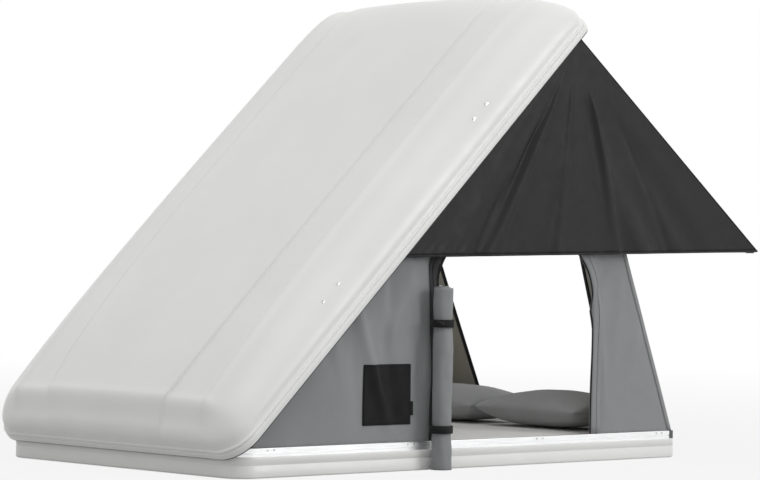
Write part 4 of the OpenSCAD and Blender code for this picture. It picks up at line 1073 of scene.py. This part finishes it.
def makePillow(side, label):
    points, faces = pillowShape()
    wobble = ripple(points, 9, 4.0 * side)
    x, y, z = points.T
    seamy = np.abs(x / (pillow["width"] / 2)) ** 3 + np.abs(y / (pillow["length"] / 2)) ** 3
    radial = np.sin(np.arctan2(y, x) * 14 + 3 * side) * np.clip(seamy, 0, 1)
    lift = pillow["wobble"] * wobble + pillow["gather"] * radial
    points[:, 2] += np.where(z > pillow["gatherAbove"], lift, 0)
    points += (pillow["x"], side * pillow["y"], bed["z"] + bed["thick"])
    hides = ["pillow_" + label.lower()]
    piece = turnOutward(makePiece("pillow" + label, points, faces, "pillow", "base", hides))
    addModifier(piece, "SUBSURF", levels=1, render_levels=1)
    return settle(piece)


pillows = [makePillow(side, label) for side, label in sides]
print("bedding made")

# Rolled rear door under the top of the rear opening
rollHeight = rear["doorHeight"] + rear["rollRadius"] + rear["rollUp"]
rearRollAt = onRear(np.array([-rear["doorHalf"]]), np.array([rollHeight]), -rear["rollIn"])[0]
rolledCloth("rearDoorRoll", rearRollAt, (0, 1, 0), tuple(rearUp), rear["rollRadius"], 2 * rear["doorHalf"],
            rear["rollTies"], 5.0, ["rear_door_roll"])
print("rear roll made")

bowDir = (math.cos(bowLean), 0, math.sin(bowLean))
roofFold = {"axis": bowDir, "anchor": tuple(onLidEdge(canopy["rearRun"], 0.0)), "keep": 0.012}
for piece in list(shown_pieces()):
    if piece.name in frame["nodes"]:
        continue
    if piece.name.startswith(("doorRoll", "roll")):
        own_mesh(piece)
    elif piece.name.startswith(("wall", "zip", "door", "jamb", "rear", "label", "patch")):
        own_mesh(piece)
    elif piece.name.startswith("canopy"):
        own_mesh(piece)
    elif piece.name.startswith("roof"):
        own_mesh(piece)


# Stage: pale floor, soft white surround, broad lights
stage = {"floorSize": 500, "floorZ": -0.0006, "floorTone": (0.45, 0.45, 0.445), "floorGlow": 0.86,
         "fadeFrom": 2.5, "fadeTo": 9.0, "horizon": 0.32, "zenith": 0.72, "zenithAt": 0.7}


def highest(tree, a, b):
    n = addNode(tree, "ShaderNodeMath", operation="MAXIMUM")
    wire(tree, (a, n.inputs[0]), (b, n.inputs[1]))
    return n.outputs[0]


def blendInto(tree, share, first, second, end):
    n = addNode(tree, "ShaderNodeMixShader")
    wire(tree, (share, n.inputs["Fac"]), (first, n.inputs[1]), (second, n.inputs[2]),
         (n.outputs["Shader"], end))


def makeFloor():
    bpy.ops.mesh.primitive_plane_add(size=stage["floorSize"], location=(0, 0, stage["floorZ"]))
    floor = bpy.context.object
    floor.name = "studioFloor"
    m, t, s = blankMaterial("studioFloor")
    v = objectCoords(t, (1, 1, 1))
    tone = ramp(t, noiseTexture(t, v, 0.6), stage["floorTone"], shaded(stage["floorTone"], 1.02))
    t.links.new(tone, s.inputs["Base Color"])
    setInputs(s, {"Roughness": 0.9, "Specular IOR Level": 0.1})
    glow = addNode(t, "ShaderNodeEmission")  # the floor reads white and keeps a faint shadow
    path = addNode(t, "ShaderNodeLightPath")
    share = addNode(t, "ShaderNodeMath", operation="MULTIPLY")
    reach = addNode(t, "ShaderNodeVectorMath", operation="LENGTH")
    fade = addNode(t, "ShaderNodeMapRange")
    setInputs(fade, {"From Min": stage["fadeFrom"], "From Max": stage["fadeTo"], "To Min": stage["floorGlow"],
                     "To Max": 1.0})
    seen = highest(t, path.outputs["Is Camera Ray"], path.outputs["Is Glossy Ray"])
    wire(t, (v, reach.inputs[0]), (reach.outputs["Value"], fade.inputs["Value"]), (seen, share.inputs[0]),
         (fade.outputs["Result"], share.inputs[1]))
    blendInto(t, share.outputs[0], s.outputs["BSDF"], glow.outputs["Emission"],
              t.nodes["Material Output"].inputs["Surface"])
    floor.data.materials.append(m)


def makeWorld():
    world = bpy.data.worlds.new("softWhite")
    sceneNow.world = world
    world.use_nodes = True
    t = world.node_tree
    ground = t.nodes["Background"]
    seen = addNode(t, "ShaderNodeBackground")
    setInputs(ground, {"Color": (1, 1, 1, 1)})
    setInputs(seen, {"Color": (1, 1, 1, 1), "Strength": 1.0})
    way = addNode(t, "ShaderNodeTexCoord")
    split = addNode(t, "ShaderNodeSeparateXYZ")
    rise = addNode(t, "ShaderNodeMapRange")
    setInputs(rise, {"From Min": 0.0, "From Max": stage["zenithAt"], "To Min": stage["horizon"],
                     "To Max": stage["zenith"]})
    wire(t, (way.outputs["Generated"], split.inputs["Vector"]), (split.outputs["Z"], rise.inputs["Value"]),
         (rise.outputs["Result"], ground.inputs["Strength"]))
    path = addNode(t, "ShaderNodeLightPath")
    pick = highest(t, path.outputs["Is Camera Ray"], path.outputs["Is Glossy Ray"])
    pick = highest(t, pick, path.outputs["Is Transmission Ray"])
    blendInto(t, pick, ground.outputs["Background"], seen.outputs["Background"],
              t.nodes["World Output"].inputs["Surface"])


lamps = {  # place, aim, size in metres, watts
    "overheadSoft": ((-2.5, -2.0, 6.0), (0, 0, 0.7), 5.0, 60),
    "insideGlow": ((0.35, 0.0, 0.95), (0.40, 0, 0.1), 0.7, 2.4),
    "nearSide": ((3.5, -6.5, 2.6), (0.3, 0, 0.5), 3.0, 140),
}


def softLight(name, place, aim, size, power):
    data = bpy.data.lights.new(name, "AREA")
    data.energy = power
    data.size = size
    lamp = bpy.data.objects.new(name, data)
    sceneNow.collection.objects.link(lamp)
    lamp.location = place
    lamp.rotation_euler = (Vector(aim) - Vector(place)).to_track_quat("-Z", "Y").to_euler()
    return lamp


makeFloor()
makeWorld()
lit = {name: softLight(name, *values) for name, values in lamps.items()}
outerShell = bpy.data.collections.new("outerShell")  # the lid takes no light from the lamp inside
outerShell.objects.link(bpy.data.objects["lidShell"])
outerShell.collection_objects[0].light_linking.link_state = "EXCLUDE"
lit["insideGlow"].light_linking.receiver_collection = outerShell
print("stage set")
